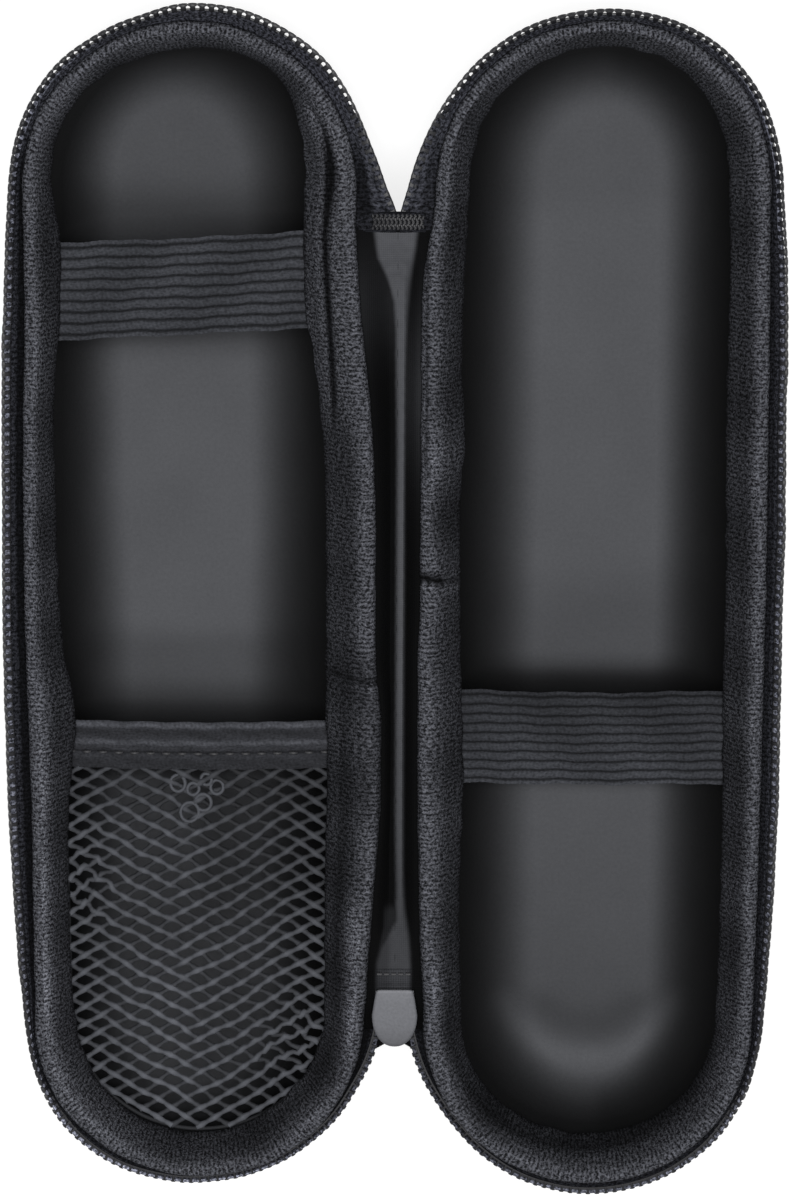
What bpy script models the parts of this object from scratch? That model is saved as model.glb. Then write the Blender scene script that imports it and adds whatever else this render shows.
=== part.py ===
"""Hard travel case for a toothbrush, lying open on its two backs.

Two equal moulded halves lie side by side, joined by a fabric spine. Each half is a bowl of
three bonded layers with a bound rim, half of the zip around its outer side, and its own
fittings: a strap in each, and a net pocket in the left one. Metres, +Z up, the spine along Y
at X = 0, and both backs on Z = 0.

Each half is modelled about its own middle line, with its spine side towards -X, and is then
placed at +X, or mirrored and placed at -X. A radius is measured from the middle line, which
runs between the centres of the two round ends.
"""
import math

import bmesh
import bpy
from mathutils import Matrix, Vector

# Sizes of the two halves
STRAIGHT_HALF = 0.0785       # middle of the case to the centre of a round end
SPINE_GAP = 0.0128           # between the two bindings, where the long sides end
BASE_FILLET = 0.012          # outer radius between the back and the wall
WALL_DRAFT = math.radians(12)
WALL_HEIGHT = 0.0213         # back to the trimmed top of the moulded wall
SKIN_THICKNESS = 0.0008
FOAM_THICKNESS = 0.0023
LINING_THICKNESS = 0.0007
SEAT_GAP = 0.0003            # clearance between pieces that touch
BOW_OUTER = 0.0012           # how far the long outer side swells at mid length
BOW_SPINE = 0.0024           # the same on the spine side

# Bound rim
BINDING_OUTER = 0.0309       # middle line to the outer edge of the binding, at a round end
BINDING_OVERHANG = 0.00025   # how far the binding stands out past the wall's top
BINDING_THICKNESS = 0.0009
CREST_HEIGHT = 0.0016        # how far the roll rises above its base
HEM_HEIGHT = 0.0164          # back to the lower edge of the binding, inside
THREAD_WIDTH = 0.0005
THREAD_DROP = 0.0012         # wall's top down to the seam's thread

# Zip
TAPE_THICKNESS = 0.0006
TAPE_SEWN_WIDTH = 0.0022     # tape caught under the binding
ROW_RADIUS = 0.00075
ROW_REACH = 0.0030           # binding edge to the tip of the teeth, seen from above
ROW_APART_CLOSED = 0.0005    # left between the two rows when the lid is down
ZIP_START_DROP = 0.0033      # centre of the upper round end down to where the rows meet
ZIP_MERGE_LENGTH = 0.0095    # run over which a row leaves the rim to meet the other
MOUTH_HALF_WIDTH = 0.0030    # spine centre to the tip of the teeth at the slider's mouth
FLARE_LENGTH = 0.045         # run over which the tape stands up from flat

# Spine
HINGE_HALF_WIDTH = 0.0032    # spine centre to each bending line
GUSSET_THICKNESS = 0.0009
GUSSET_DEPTH = 0.0040        # how far the fabric hangs between the halves
GUSSET_FLOOR_SHARE = 0.25    # share of the width that hangs level
GUSSET_FADE_SHARE = 0.3      # share of the half length over which each end rises to flat
START_TAB_LENGTH = 0.0034    # sewn ends of the tapes, above the gusset
SEWN_BAND_LENGTH = 0.0036    # sewn tape that shows between the gusset and the slider

# Slider, parked at the lower end of the spine
SLIDER_TAIL_RISE = 0.0056    # centre of the lower round end up to the slider's tail
SLIDER_LENGTH = 0.0113
SLIDER_HALF_WIDTH = 0.0043
SLIDER_TAIL_HALF_WIDTH = 0.0037
SLIDER_TAPER_SHARE = 0.45    # share of the length where the plate is widest
SLIDER_SQUARENESS = 0.7      # 1 gives an elliptical mouth end, and less a squarer one
PLATE_THICKNESS = 0.0009
CHANNEL_HEIGHT = 0.0022
FLANGE_WIDTH = 0.0006
FLANGE_DROP = 0.0005
FLANGE_LENGTH = 0.0060
POST_WIDTH = 0.0014
POST_LENGTH = 0.0020
POST_INSET = 0.0010          # mouth of the plates to the post
BRIDGE_LENGTH = 0.0076
BRIDGE_WIDTH = 0.0018
BRIDGE_THICKNESS = 0.0010
BRIDGE_INNER_HEIGHT = 0.0022
JOIN_DEPTH = 0.0002          # how far cast-together shapes run into each other

# Tape and teeth that stay closed behind and inside the slider
TAIL_HALF_WIDTH = 0.0059
TAIL_TAPE_THICKNESS = 0.0005
TAIL_ROWS_HALF_WIDTH = 0.0015

# Pull tab
TAB_LENGTH = 0.0150
TAB_WIDTH = 0.0058
TAB_THICKNESS = 0.0011
TAB_EYE_WIDTH = 0.0028
TAB_EYE_LENGTH = 0.0056
TAB_CROSSBAR = 0.0011

# Straps
STRAP_WIDTH = 0.0180
STRAP_THICKNESS = 0.0012
STRAP_ARCH = 0.0016
LEFT_STRAP_DROP = 0.0177     # centre of the upper round end down to the strap's middle
LEFT_STRAP_SLOPE = math.radians(2.9)
RIGHT_STRAP_RISE = 0.0528    # centre of the lower round end up to the strap's middle

# Net pocket
POCKET_RISE = 0.0563         # centre of the lower round end up to the pocket's hem
HEM_WIDTH = 0.0050
HEM_THICKNESS = 0.0012
HEM_RIDGE = 0.0005           # rise of each of the hem's two ridges
HEM_EDGE_SHARE = 0.2         # share of the hem's half width left flat at each edge
NET_STRAND = 0.0008
NET_CELL_WIDTH = 0.0074
NET_CELL_HEIGHT = 0.0044
NET_CROWDED = 0.0011         # net corners nearer than this run together

# Fineness of the curved faces
END_STEPS = 12
SIDE_STEPS = 2
FILLET_STEPS = 3
CREST_STEPS = 6
ROW_CORNERS = 6
STRAP_STEPS = 10
GUSSET_STEPS_ACROSS = 12
GUSSET_STEPS_ALONG = 16
WELD = 0.00001

# Heights, radii and places that follow
HALF_SPACING = BINDING_OUTER + SPINE_GAP / 2
WALL_THICKNESS = SKIN_THICKNESS + FOAM_THICKNESS + LINING_THICKNESS + 2 * SEAT_GAP
WALL_TOP_RADIUS = BINDING_OUTER - BINDING_OVERHANG
FILLET_TOP = BASE_FILLET - BASE_FILLET * math.sin(WALL_DRAFT)
WALL_LEAN = (WALL_HEIGHT - FILLET_TOP) * math.tan(WALL_DRAFT)
FLOOR_HALF_WIDTH = WALL_TOP_RADIUS - WALL_LEAN - BASE_FILLET * math.cos(WALL_DRAFT)
TAPE_LEVEL = WALL_HEIGHT + SEAT_GAP + TAPE_THICKNESS / 2
BINDING_BASE = TAPE_LEVEL + TAPE_THICKNESS / 2 + SEAT_GAP
ROW_RISE = HINGE_HALF_WIDTH - ROW_APART_CLOSED / 2 - ROW_RADIUS
FITTING_TOP = HEM_HEIGHT - SEAT_GAP
END_RADIUS = BINDING_OUTER + ROW_REACH
ZIP_START = STRAIGHT_HALF - ZIP_START_DROP
GUSSET_TOP = ZIP_START - START_TAB_LENGTH - 2 * SEAT_GAP
SLIDER_TAIL = -(STRAIGHT_HALF - SLIDER_TAIL_RISE)
SLIDER_MOUTH = SLIDER_TAIL - SLIDER_LENGTH
SLIDER_MIDDLE = (SLIDER_TAIL + SLIDER_MOUTH) / 2
GUSSET_BOTTOM = SLIDER_TAIL + SEWN_BAND_LENGTH + SEAT_GAP
ZIP_END = SLIDER_MOUTH - SEAT_GAP
CHANNEL_HALF = CHANNEL_HEIGHT / 2
LEFT_STRAP_PLACE = STRAIGHT_HALF - LEFT_STRAP_DROP
RIGHT_STRAP_PLACE = RIGHT_STRAP_RISE - STRAIGHT_HALF
POCKET_TOP = POCKET_RISE - STRAIGHT_HALF

CASE_NAME = "toothbrush_travel_case"
CUTTERS_NAME = "cutters"
RIGHT = 1
LEFT = -1

# Colours
BLACK_FABRIC = (0.016, 0.016, 0.018)
BLACK_FOAM = (0.02, 0.02, 0.02)
GREY_LINING = (0.055, 0.058, 0.065)
GREY_BINDING = (0.045, 0.047, 0.052)
BLACK_TAPE = (0.012, 0.012, 0.015)
GREY_ELASTIC = (0.035, 0.036, 0.04)
GREY_NET = (0.06, 0.061, 0.066)
GREY_METAL = (0.16, 0.165, 0.18)


def wall_radius(height, depth=0.0):
    """Radius of the surface that lies a depth inside the wall's outer face, at a height."""
    lean = (height - WALL_HEIGHT) * math.tan(WALL_DRAFT)
    return WALL_TOP_RADIUS + lean - depth / math.cos(WALL_DRAFT)


def bowl_line(depth):
    """Radius and height pairs, floor centre to rim, of the surface a depth inside the back."""
    points = [(0.0, depth)]
    reach = BASE_FILLET - depth
    for step in range(FILLET_STEPS + 1):
        turn = (math.pi / 2 - WALL_DRAFT) * step / FILLET_STEPS
        radius = FLOOR_HALF_WIDTH + reach * math.sin(turn)
        points.append((radius, BASE_FILLET - reach * math.cos(turn)))
    points.append((wall_radius(WALL_HEIGHT, depth), WALL_HEIGHT))
    return points


def bowed(x, y):
    """The x of a point of a half once its long sides swell towards mid length."""
    if abs(y) >= STRAIGHT_HALF:
        return x
    swell = (1 - (y / STRAIGHT_HALF) ** 2) ** 2
    amount = BOW_OUTER if x > 0 else BOW_SPINE
    return x * (1 + amount * swell / BINDING_OUTER)


def smooth_share(share):
    """Ease a share from 0 to 1 with a level start and end."""
    share = min(max(share, 0.0), 1.0)
    return share * share * (3 - 2 * share)


def make_collection(name):
    """A collection of the scene that holds the case's pieces or its cutters."""
    collection = bpy.data.collections.new(name)
    bpy.context.scene.collection.children.link(collection)
    return collection


def link_part(name, mesh, color, roughness, metallic=0.0, smooth_angle=40):
    """Link a mesh as a piece of the case, shaded smooth, with its own material."""
    material = bpy.data.materials.new(name + "_finish")
    material.use_nodes = True
    shader = material.node_tree.nodes["Principled BSDF"]
    shader.inputs["Base Color"].default_value = (*color, 1.0)
    shader.inputs["Roughness"].default_value = roughness
    shader.inputs["Metallic"].default_value = metallic
    mesh.materials.append(material)
    mesh.shade_smooth()
    mesh.set_sharp_from_angle(angle=math.radians(smooth_angle))
    part = bpy.data.objects.new(name, mesh)
    bpy.data.collections[CASE_NAME].objects.link(part)
    return part


def finish(name, bm, color, roughness, metallic=0.0, smooth_angle=40):
    """Turn a mesh's faces outwards and link it as a piece of the case."""
    if bm.calc_volume(signed=True) < 0:
        bmesh.ops.reverse_faces(bm, faces=bm.faces[:])
    mesh = bpy.data.meshes.new(name)
    bm.to_mesh(mesh)
    bm.free()
    return link_part(name, mesh, color, roughness, metallic, smooth_angle)


def world_place(empty):
    """World place of an empty whose parents are moved but not turned."""
    place = Vector(empty.location)
    while empty.parent:
        empty = empty.parent
        place += empty.location
    return place


def carry(part, joint, place=Vector((0, 0, 0))):
    """Parent a piece to a joint's empty, at a place in the world."""
    part.parent = joint
    part.location = place - world_place(joint)


def joint_empty(name, place, carrier=None):
    """An empty on a joint's axis, which carries the pieces that move together."""
    empty = bpy.data.objects.new(name, None)
    bpy.data.collections[CASE_NAME].objects.link(empty)
    empty.location = place
    if carrier:
        carry(empty, carrier, place)
    return empty


def place_half(part, side, joint):
    """Put a piece modelled about a half's own middle line on its side of the spine."""
    if side == LEFT:
        part.data.transform(Matrix.Scale(-1, 4, Vector((1, 0, 0))))
        part.data.flip_normals()
    carry(part, joint, Vector((side * HALF_SPACING, 0, 0)))


def stadium(section, closed):
    """Sweep a section of radius and height pairs round the middle line of a half.

    The section turns half a circle about one end's centre and is drawn along the sides to
    mid length. The piece's Mirror modifier then adds the other end.
    """
    bm = bmesh.new()
    points = [bm.verts.new((radius, STRAIGHT_HALF, height)) for radius, height in section]
    pairs = list(zip(points, points[1:]))
    if closed:
        pairs.append((points[-1], points[0]))
    edges = [bm.edges.new(pair) for pair in pairs]
    bmesh.ops.spin(bm, geom=points + edges, cent=(0, STRAIGHT_HALF, 0), axis=(0, 0, 1),
                   angle=math.pi, steps=END_STEPS)
    bmesh.ops.remove_doubles(bm, verts=bm.verts, dist=WELD)
    for _ in range(SIDE_STEPS):
        rim = [edge for edge in bm.edges if edge.is_boundary]
        grown = bmesh.ops.extrude_edge_only(bm, edges=rim)["geom"]
        moved = [item for item in grown if isinstance(item, bmesh.types.BMVert)]
        bmesh.ops.translate(bm, verts=moved, vec=(0, -STRAIGHT_HALF / SIDE_STEPS, 0))
    for vert in bm.verts:
        vert.co.x = bowed(vert.co.x, vert.co.y)
    bmesh.ops.recalc_face_normals(bm, faces=bm.faces[:])
    return bm


def add_other_end(part):
    """Mirror a piece modelled from one end to mid length."""
    mirror = part.modifiers.new("other_end", "MIRROR")
    mirror.use_axis = (False, True, False)
    mirror.merge_threshold = WELD


def bowl_layer(name, depth, thickness, side, joint, color, roughness):
    """One bonded layer of a moulded half, a depth inside its outer face."""
    outer = bowl_line(depth)
    inner = bowl_line(depth + thickness)
    part = finish(name, stadium(outer + inner[::-1], closed=False), color, roughness)
    add_other_end(part)
    place_half(part, side, joint)


def moulded_half(prefix, side, joint):
    """The outer skin, the foam shell and the lining of a half."""
    foam_depth = SKIN_THICKNESS + SEAT_GAP
    lining_depth = foam_depth + FOAM_THICKNESS + SEAT_GAP
    bowl_layer(prefix + "_outer_skin", 0.0, SKIN_THICKNESS, side, joint, BLACK_FABRIC, 0.85)
    bowl_layer(prefix + "_foam_shell", foam_depth, FOAM_THICKNESS, side, joint, BLACK_FOAM, 0.9)
    bowl_layer(prefix + "_lining", lining_depth, LINING_THICKNESS, side, joint, GREY_LINING, 0.8)


def binding_section():
    """The rim's tape: a rounded crest over the wall's top, and a leg down its inner face."""
    seat = WALL_THICKNESS + SEAT_GAP
    face = seat + BINDING_THICKNESS
    crest_inner = wall_radius(BINDING_BASE, face)
    middle = (BINDING_OUTER + crest_inner) / 2
    half = (BINDING_OUTER - crest_inner) / 2
    section = []
    for step in range(CREST_STEPS + 1):
        turn = math.pi * step / CREST_STEPS
        radius = middle + half * math.cos(turn)
        section.append((radius, BINDING_BASE + CREST_HEIGHT * math.sin(turn)))
    section.append((wall_radius(HEM_HEIGHT, face), HEM_HEIGHT))
    section.append((wall_radius(HEM_HEIGHT, seat), HEM_HEIGHT))
    section.append((wall_radius(BINDING_BASE, seat), BINDING_BASE))
    return section


def rim_binding(prefix, side, joint):
    """The bound rim of a half."""
    sweep = stadium(binding_section(), closed=True)
    part = finish(prefix + "_rim_binding", sweep, GREY_BINDING, 0.9, smooth_angle=50)
    add_other_end(part)
    place_half(part, side, joint)


def rim_thread(prefix, side, joint):
    """The seam's thread, laid round the skin under the wall's trimmed top."""
    top = WALL_HEIGHT - THREAD_DROP
    inner = wall_radius(top) + SEAT_GAP
    outer = inner + THREAD_WIDTH
    bottom = top - THREAD_WIDTH
    section = [(outer, top), (inner, top), (inner, bottom), (outer, bottom)]
    part = finish(prefix + "_rim_thread", stadium(section, closed=True), BLACK_TAPE, 0.8)
    add_other_end(part)
    place_half(part, side, joint)


def zip_stations():
    """The zip's run round a half: centre y, direction, and the run from each of its ends."""
    stations = [(ZIP_START, math.pi)]
    for step in range(END_STEPS + 1):
        stations.append((STRAIGHT_HALF, math.pi * (1 - step / END_STEPS)))
    side_count = 2 * SIDE_STEPS
    for step in range(1, side_count):
        stations.append((STRAIGHT_HALF * (1 - 2 * step / side_count), 0.0))
    last_turn = math.pi - math.asin((-ZIP_END - STRAIGHT_HALF) / END_RADIUS)
    for step in range(END_STEPS + 1):
        stations.append((-STRAIGHT_HALF, -last_turn * step / END_STEPS))
    runs = [0.0]
    for (y, turn), (next_y, next_turn) in zip(stations, stations[1:]):
        runs.append(runs[-1] + abs(next_y - y) + END_RADIUS * abs(next_turn - turn))
    return [(y, turn, run, runs[-1] - run) for (y, turn), run in zip(stations, runs)]


def row_place(from_start, from_mouth):
    """Radius and height of the middle of the teeth, by the runs from the zip's two ends."""
    nearest = min(from_start, from_mouth)
    height = TAPE_LEVEL + ROW_RISE * smooth_share(nearest / FLARE_LENGTH)
    spare_start = HALF_SPACING - END_RADIUS - SEAT_GAP / 2
    spare_mouth = HALF_SPACING - END_RADIUS - MOUTH_HALF_WIDTH
    start_pull = max(0.0, 1 - from_start / ZIP_MERGE_LENGTH) ** 2
    mouth_pull = max(0.0, 1 - from_mouth / ZIP_MERGE_LENGTH) ** 2
    radius = END_RADIUS - ROW_RADIUS + spare_start * start_pull + spare_mouth * mouth_pull
    return radius, height


def loft(loops):
    """Skin a list of closed loops, each with as many points, and cap the two ends."""
    bm = bmesh.new()
    rings = [[bm.verts.new(point) for point in loop] for loop in loops]
    for ring, following in zip(rings, rings[1:]):
        for index in range(len(ring)):
            after = (index + 1) % len(ring)
            bm.faces.new((ring[index], ring[after], following[after], following[index]))
    bm.faces.new(rings[0][::-1])
    bm.faces.new(rings[-1])
    bmesh.ops.recalc_face_normals(bm, faces=bm.faces[:])
    return bm


def along_zip(section_at):
    """Loops of a section that follows the zip's run round a half."""
    loops = []
    for centre_y, turn, from_start, from_mouth in zip_stations():
        loop = []
        for radius, height in section_at(from_start, from_mouth):
            y = centre_y + radius * math.sin(turn)
            loop.append((bowed(radius * math.cos(turn), y), y, height))
        loops.append(loop)
    return loops


def tape_section(from_start, from_mouth):
    """The zip's tape: caught flat on the wall's top, then standing out to the teeth."""
    row_radius, row_height = row_place(from_start, from_mouth)
    run = row_radius - BINDING_OUTER
    rise = row_height - TAPE_LEVEL
    length = math.hypot(run, rise)
    stop_share = (length - ROW_RADIUS - SEAT_GAP) / length
    half = TAPE_THICKNESS / 2
    edge_radius = BINDING_OUTER + run * stop_share
    edge_height = TAPE_LEVEL + rise * stop_share
    across = -rise / length * half
    upwards = run / length * half
    inner = BINDING_OUTER - TAPE_SEWN_WIDTH
    section = [(inner, TAPE_LEVEL - half), (BINDING_OUTER, TAPE_LEVEL - half)]
    section.append((edge_radius - across, edge_height - upwards))
    section.append((edge_radius + across, edge_height + upwards))
    section.append((BINDING_OUTER, TAPE_LEVEL + half))
    section.append((inner, TAPE_LEVEL + half))
    return section


def row_section(from_start, from_mouth):
    """The row of teeth, as a plain cord."""
    radius, height = row_place(from_start, from_mouth)
    section = []
    for corner in range(ROW_CORNERS):
        turn = 2 * math.pi * corner / ROW_CORNERS
        section.append((radius + ROW_RADIUS * math.cos(turn), height + ROW_RADIUS * math.sin(turn)))
    return section


def zip_side(prefix, side, joint):
    """One side of the zip: its tape and its row of teeth."""
    tape = finish(prefix + "_zip_tape", loft(along_zip(tape_section)), BLACK_TAPE, 0.9)
    place_half(tape, side, joint)
    row = finish(prefix + "_zip_teeth", loft(along_zip(row_section)), BLACK_TAPE, 0.45)
    place_half(row, side, joint)


def sheet(name, steps_across, steps_along, place, thickness, color, roughness):
    """A fabric sheet: a grid whose points follow a formula, thickened on both sides.

    The formula takes two shares of -1 to 1, across and along, and gives a point.
    """
    bm = bmesh.new()
    bmesh.ops.create_grid(bm, x_segments=steps_across, y_segments=steps_along, size=1)
    for vert in bm.verts:
        vert.co = Vector(place(vert.co.x, vert.co.y))
    mesh = bpy.data.meshes.new(name)
    bm.to_mesh(mesh)
    bm.free()
    part = link_part(name, mesh, color, roughness)
    shell = part.modifiers.new("thickness", "SOLIDIFY")
    shell.thickness = thickness
    shell.offset = 0
    shell.use_even_offset = True
    return part


def strap(name, y, slope, side, joint):
    """An elastic strap across a half, its ends tucked under the binding's lower edge."""
    level = FITTING_TOP - STRAP_THICKNESS / 2
    reach = wall_radius(level - STRAP_THICKNESS / 2, WALL_THICKNESS + SEAT_GAP)

    def place(across, along):
        x = reach * across
        strap_y = y + STRAP_WIDTH / 2 * along + x * math.tan(slope)
        rise = STRAP_ARCH * (1 - across * across) ** 2
        return bowed(x, strap_y), strap_y, level + rise

    part = sheet(name, STRAP_STEPS, 2, place, STRAP_THICKNESS, GREY_ELASTIC, 0.9)
    place_half(part, side, joint)


def pocket_hem(side, joint):
    """The pocket's elastic hem, with two ridges along it."""
    level = FITTING_TOP - HEM_THICKNESS / 2 - HEM_RIDGE
    reach = wall_radius(level - HEM_THICKNESS / 2, WALL_THICKNESS + SEAT_GAP)
    middle = POCKET_TOP - HEM_WIDTH / 2

    def place(across, along):
        hem_y = middle + HEM_WIDTH / 2 * along
        ridge_share = min(1.0, abs(along) / (1 - HEM_EDGE_SHARE))
        ridge = HEM_RIDGE * math.sin(math.pi * ridge_share) ** 2
        return bowed(reach * across, hem_y), hem_y, level + ridge

    part = sheet("pocket_hem", 4, 10, place, HEM_THICKNESS, GREY_ELASTIC, 0.9)
    place_half(part, side, joint)


def net_outline(reach):
    """The pocket's mouth, two sides and round end, as points of a flat outline."""
    top = POCKET_TOP - HEM_WIDTH - SEAT_GAP - NET_STRAND / 2
    points = []
    for step in range(SIDE_STEPS + 1):
        points.append((-reach, top - (top + STRAIGHT_HALF) * step / SIDE_STEPS))
    for step in range(1, END_STEPS):
        turn = math.pi + math.pi * step / END_STEPS
        points.append((reach * math.cos(turn), -STRAIGHT_HALF + reach * math.sin(turn)))
    for step in range(SIDE_STEPS + 1):
        points.append((reach, -STRAIGHT_HALF + (top + STRAIGHT_HALF) * step / SIDE_STEPS))
    return [(bowed(x, y), y) for x, y in points]


def pocket_net(side, joint):
    """The pocket's net: an outline cut into diamonds, of which the strands are kept."""
    level = FITTING_TOP - HEM_RIDGE - NET_STRAND / 2
    reach = wall_radius(level - NET_STRAND / 2, WALL_THICKNESS + SEAT_GAP) - NET_STRAND / 2
    bm = bmesh.new()
    bm.faces.new([bm.verts.new((x, y, level)) for x, y in net_outline(reach)])
    length = STRAIGHT_HALF + reach + POCKET_TOP
    count = math.ceil(reach / NET_CELL_WIDTH + length / NET_CELL_HEIGHT)
    for lean in (NET_CELL_WIDTH, -NET_CELL_WIDTH):
        for index in range(-count, count + 1):
            middle = Vector((index * NET_CELL_WIDTH, -STRAIGHT_HALF, level))
            bmesh.ops.bisect_plane(bm, geom=bm.verts[:] + bm.edges[:] + bm.faces[:], dist=WELD,
                                   plane_co=middle, plane_no=(NET_CELL_HEIGHT, lean, 0))
    bmesh.ops.remove_doubles(bm, verts=bm.verts, dist=NET_CROWDED)
    merge_slivers(bm)
    mesh = bpy.data.meshes.new("pocket_net")
    bm.to_mesh(mesh)
    bm.free()
    part = link_part("pocket_net", mesh, GREY_NET, 0.7)
    strands = part.modifiers.new("strands", "WIREFRAME")
    strands.thickness = NET_STRAND
    strands.use_even_offset = True
    strands.use_boundary = True
    strands.use_replace = True
    place_half(part, side, joint)


def merge_slivers(bm):
    """Join each cell too small for a gap to its neighbour over their longest shared edge."""
    least = NET_CELL_WIDTH * NET_CELL_HEIGHT / 2 / 4
    small = [face for face in bm.faces if face.calc_area() < least]
    while small:
        shared = [edge for edge in small[0].edges if len(edge.link_faces) == 2]
        longest = max(shared, key=lambda edge: edge.calc_length())
        bmesh.ops.dissolve_edges(bm, edges=[longest], use_verts=False)
        small = [face for face in bm.faces if face.calc_area() < least]
    loose = [vert for vert in bm.verts if len(vert.link_edges) == 2 and not vert.is_boundary]
    bmesh.ops.dissolve_verts(bm, verts=loose)


def gusset(joint):
    """The spine's fabric: flat at both ends, hanging in a narrow trough between them."""
    middle = (GUSSET_TOP + GUSSET_BOTTOM) / 2
    half_length = (GUSSET_TOP - GUSSET_BOTTOM) / 2

    def place(across, along):
        run = math.sin(math.pi / 2 * along)
        y = middle + half_length * run
        depth = GUSSET_DEPTH * smooth_share((1 - abs(run)) / GUSSET_FADE_SHARE)
        fall = smooth_share((1 - abs(across)) / (1 - GUSSET_FLOOR_SHARE))
        x = spine_edge(y, SEAT_GAP) * across
        return x, y, TAPE_LEVEL - depth * fall

    part = sheet("spine_gusset", GUSSET_STEPS_ACROSS, GUSSET_STEPS_ALONG, place,
                 GUSSET_THICKNESS, BLACK_FABRIC, 0.8)
    carry(part, joint)


def spine_edge(y, clearance):
    """Distance from the spine centre to a clearance short of the binding, at a place y."""
    return HALF_SPACING + bowed(-BINDING_OUTER, y) - clearance


def flat_plate(name, outlines, thickness, color=None, roughness=0.4, metallic=0.0):
    """A plate about Z = 0 from flat outlines, of which any after the first is a hole."""
    curve = bpy.data.curves.new(name, "CURVE")
    curve.dimensions = "2D"
    curve.fill_mode = "BOTH"
    curve.extrude = thickness / 2
    for outline in outlines:
        spline = curve.splines.new("POLY")
        spline.points.add(len(outline) - 1)
        for point, (x, y) in zip(spline.points, outline):
            point.co = (x, y, 0, 1)
        spline.use_cyclic_u = True
    drawn = bpy.data.objects.new(name, curve)
    bpy.data.collections[CASE_NAME].objects.link(drawn)
    graph = bpy.context.evaluated_depsgraph_get()
    mesh = bpy.data.meshes.new_from_object(drawn.evaluated_get(graph))
    bpy.data.objects.remove(drawn)
    bm = bmesh.new()
    bm.from_mesh(mesh)
    bmesh.ops.remove_doubles(bm, verts=bm.verts, dist=WELD)
    bmesh.ops.recalc_face_normals(bm, faces=bm.faces[:])
    if color is None:
        return helper_object(name, bm)
    return finish(name, bm, color, roughness, metallic)


def box(name, size, middle):
    """A helper box of a size about a middle point."""
    bm = bmesh.new()
    bmesh.ops.create_cube(bm, size=1)
    bmesh.ops.scale(bm, verts=bm.verts, vec=size)
    bmesh.ops.translate(bm, verts=bm.verts, vec=middle)
    return helper_object(name, bm)


def helper_object(name, bm):
    """Link a mesh among the cutters, where the build leaves it out."""
    mesh = bpy.data.meshes.new(name)
    bm.to_mesh(mesh)
    bm.free()
    helper = bpy.data.objects.new(name, mesh)
    bpy.data.collections[CUTTERS_NAME].objects.link(helper)
    helper.display_type = "WIRE"
    helper.hide_render = True
    return helper


def unite(part, helpers):
    """Join helper shapes to a piece."""
    for helper in helpers:
        join = part.modifiers.new("join_" + helper.name, "BOOLEAN")
        join.operation = "UNION"
        join.solver = "EXACT"
        join.object = helper


def slider_outline():
    """A slider plate from above: a straight tail that widens, and a round mouth end."""
    widest = SLIDER_TAIL - SLIDER_LENGTH * SLIDER_TAPER_SHARE
    points = [(SLIDER_TAIL_HALF_WIDTH, SLIDER_TAIL), (-SLIDER_TAIL_HALF_WIDTH, SLIDER_TAIL)]
    for step in range(END_STEPS + 1):
        turn = math.pi + math.pi * step / END_STEPS
        across = math.copysign(abs(math.cos(turn)) ** SLIDER_SQUARENESS, math.cos(turn))
        down = abs(math.sin(turn)) ** SLIDER_SQUARENESS
        points.append((SLIDER_HALF_WIDTH * across, widest + (SLIDER_MOUTH - widest) * down))
    return points


def slider(joint):
    """The cast slider: two plates on a post, their flanges, and the bridge for the tab."""
    outline = slider_outline()
    plate_level = CHANNEL_HALF + PLATE_THICKNESS / 2
    body = flat_plate("slider_body", [outline], PLATE_THICKNESS, GREY_METAL, 0.4, 0.6)
    body.data.transform(Matrix.Translation((0, 0, TAPE_LEVEL + plate_level)))
    front = flat_plate("slider_front_plate", [outline], PLATE_THICKNESS)
    front.data.transform(Matrix.Translation((0, 0, TAPE_LEVEL - plate_level)))
    post_size = (POST_WIDTH, POST_LENGTH, CHANNEL_HEIGHT + 2 * JOIN_DEPTH)
    post_middle = SLIDER_MOUTH + POST_INSET + POST_LENGTH / 2
    post = box("slider_post", post_size, (0, post_middle, TAPE_LEVEL))
    helpers = [front, post]
    flange_x = SLIDER_TAIL_HALF_WIDTH - FLANGE_WIDTH / 2
    flange_y = SLIDER_TAIL - FLANGE_LENGTH / 2 - JOIN_DEPTH
    flange_size = (FLANGE_WIDTH, FLANGE_LENGTH, FLANGE_DROP + JOIN_DEPTH)
    flange_level = CHANNEL_HALF - (FLANGE_DROP - JOIN_DEPTH) / 2
    for side_name, side in (("right", RIGHT), ("left", LEFT)):
        for face_name, face in (("back", 1), ("front", -1)):
            middle = (side * flange_x, flange_y, TAPE_LEVEL + face * flange_level)
            helpers.append(box(f"slider_flange_{face_name}_{side_name}", flange_size, middle))
    helpers.append(slider_bridge())
    unite(body, helpers)
    carry(body, joint)


def slider_bridge():
    """The bridge under the front plate, as an open bracket drawn in the slider's side view."""
    half = BRIDGE_LENGTH / 2
    inner = half - BRIDGE_THICKNESS
    drop = BRIDGE_INNER_HEIGHT
    corner = BRIDGE_THICKNESS / 2
    deepest = drop + BRIDGE_THICKNESS
    outline = [(-half, -JOIN_DEPTH), (-half, deepest - corner), (-half + corner, deepest),
               (half - corner, deepest), (half, deepest - corner), (half, -JOIN_DEPTH),
               (inner, -JOIN_DEPTH), (inner, drop), (-inner, drop), (-inner, -JOIN_DEPTH)]
    bridge = flat_plate("slider_bridge", [outline], BRIDGE_WIDTH)
    turn = Matrix.Rotation(math.pi / 2, 4, "Z") @ Matrix.Rotation(-math.pi / 2, 4, "X")
    bridge.data.transform(turn)
    bridge.data.transform(Matrix.Translation((0, SLIDER_MIDDLE, front_face_level())))
    return bridge


def front_face_level():
    """Height of the front plate's outer face, which looks down while the case lies open."""
    return TAPE_LEVEL - CHANNEL_HALF - PLATE_THICKNESS


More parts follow.
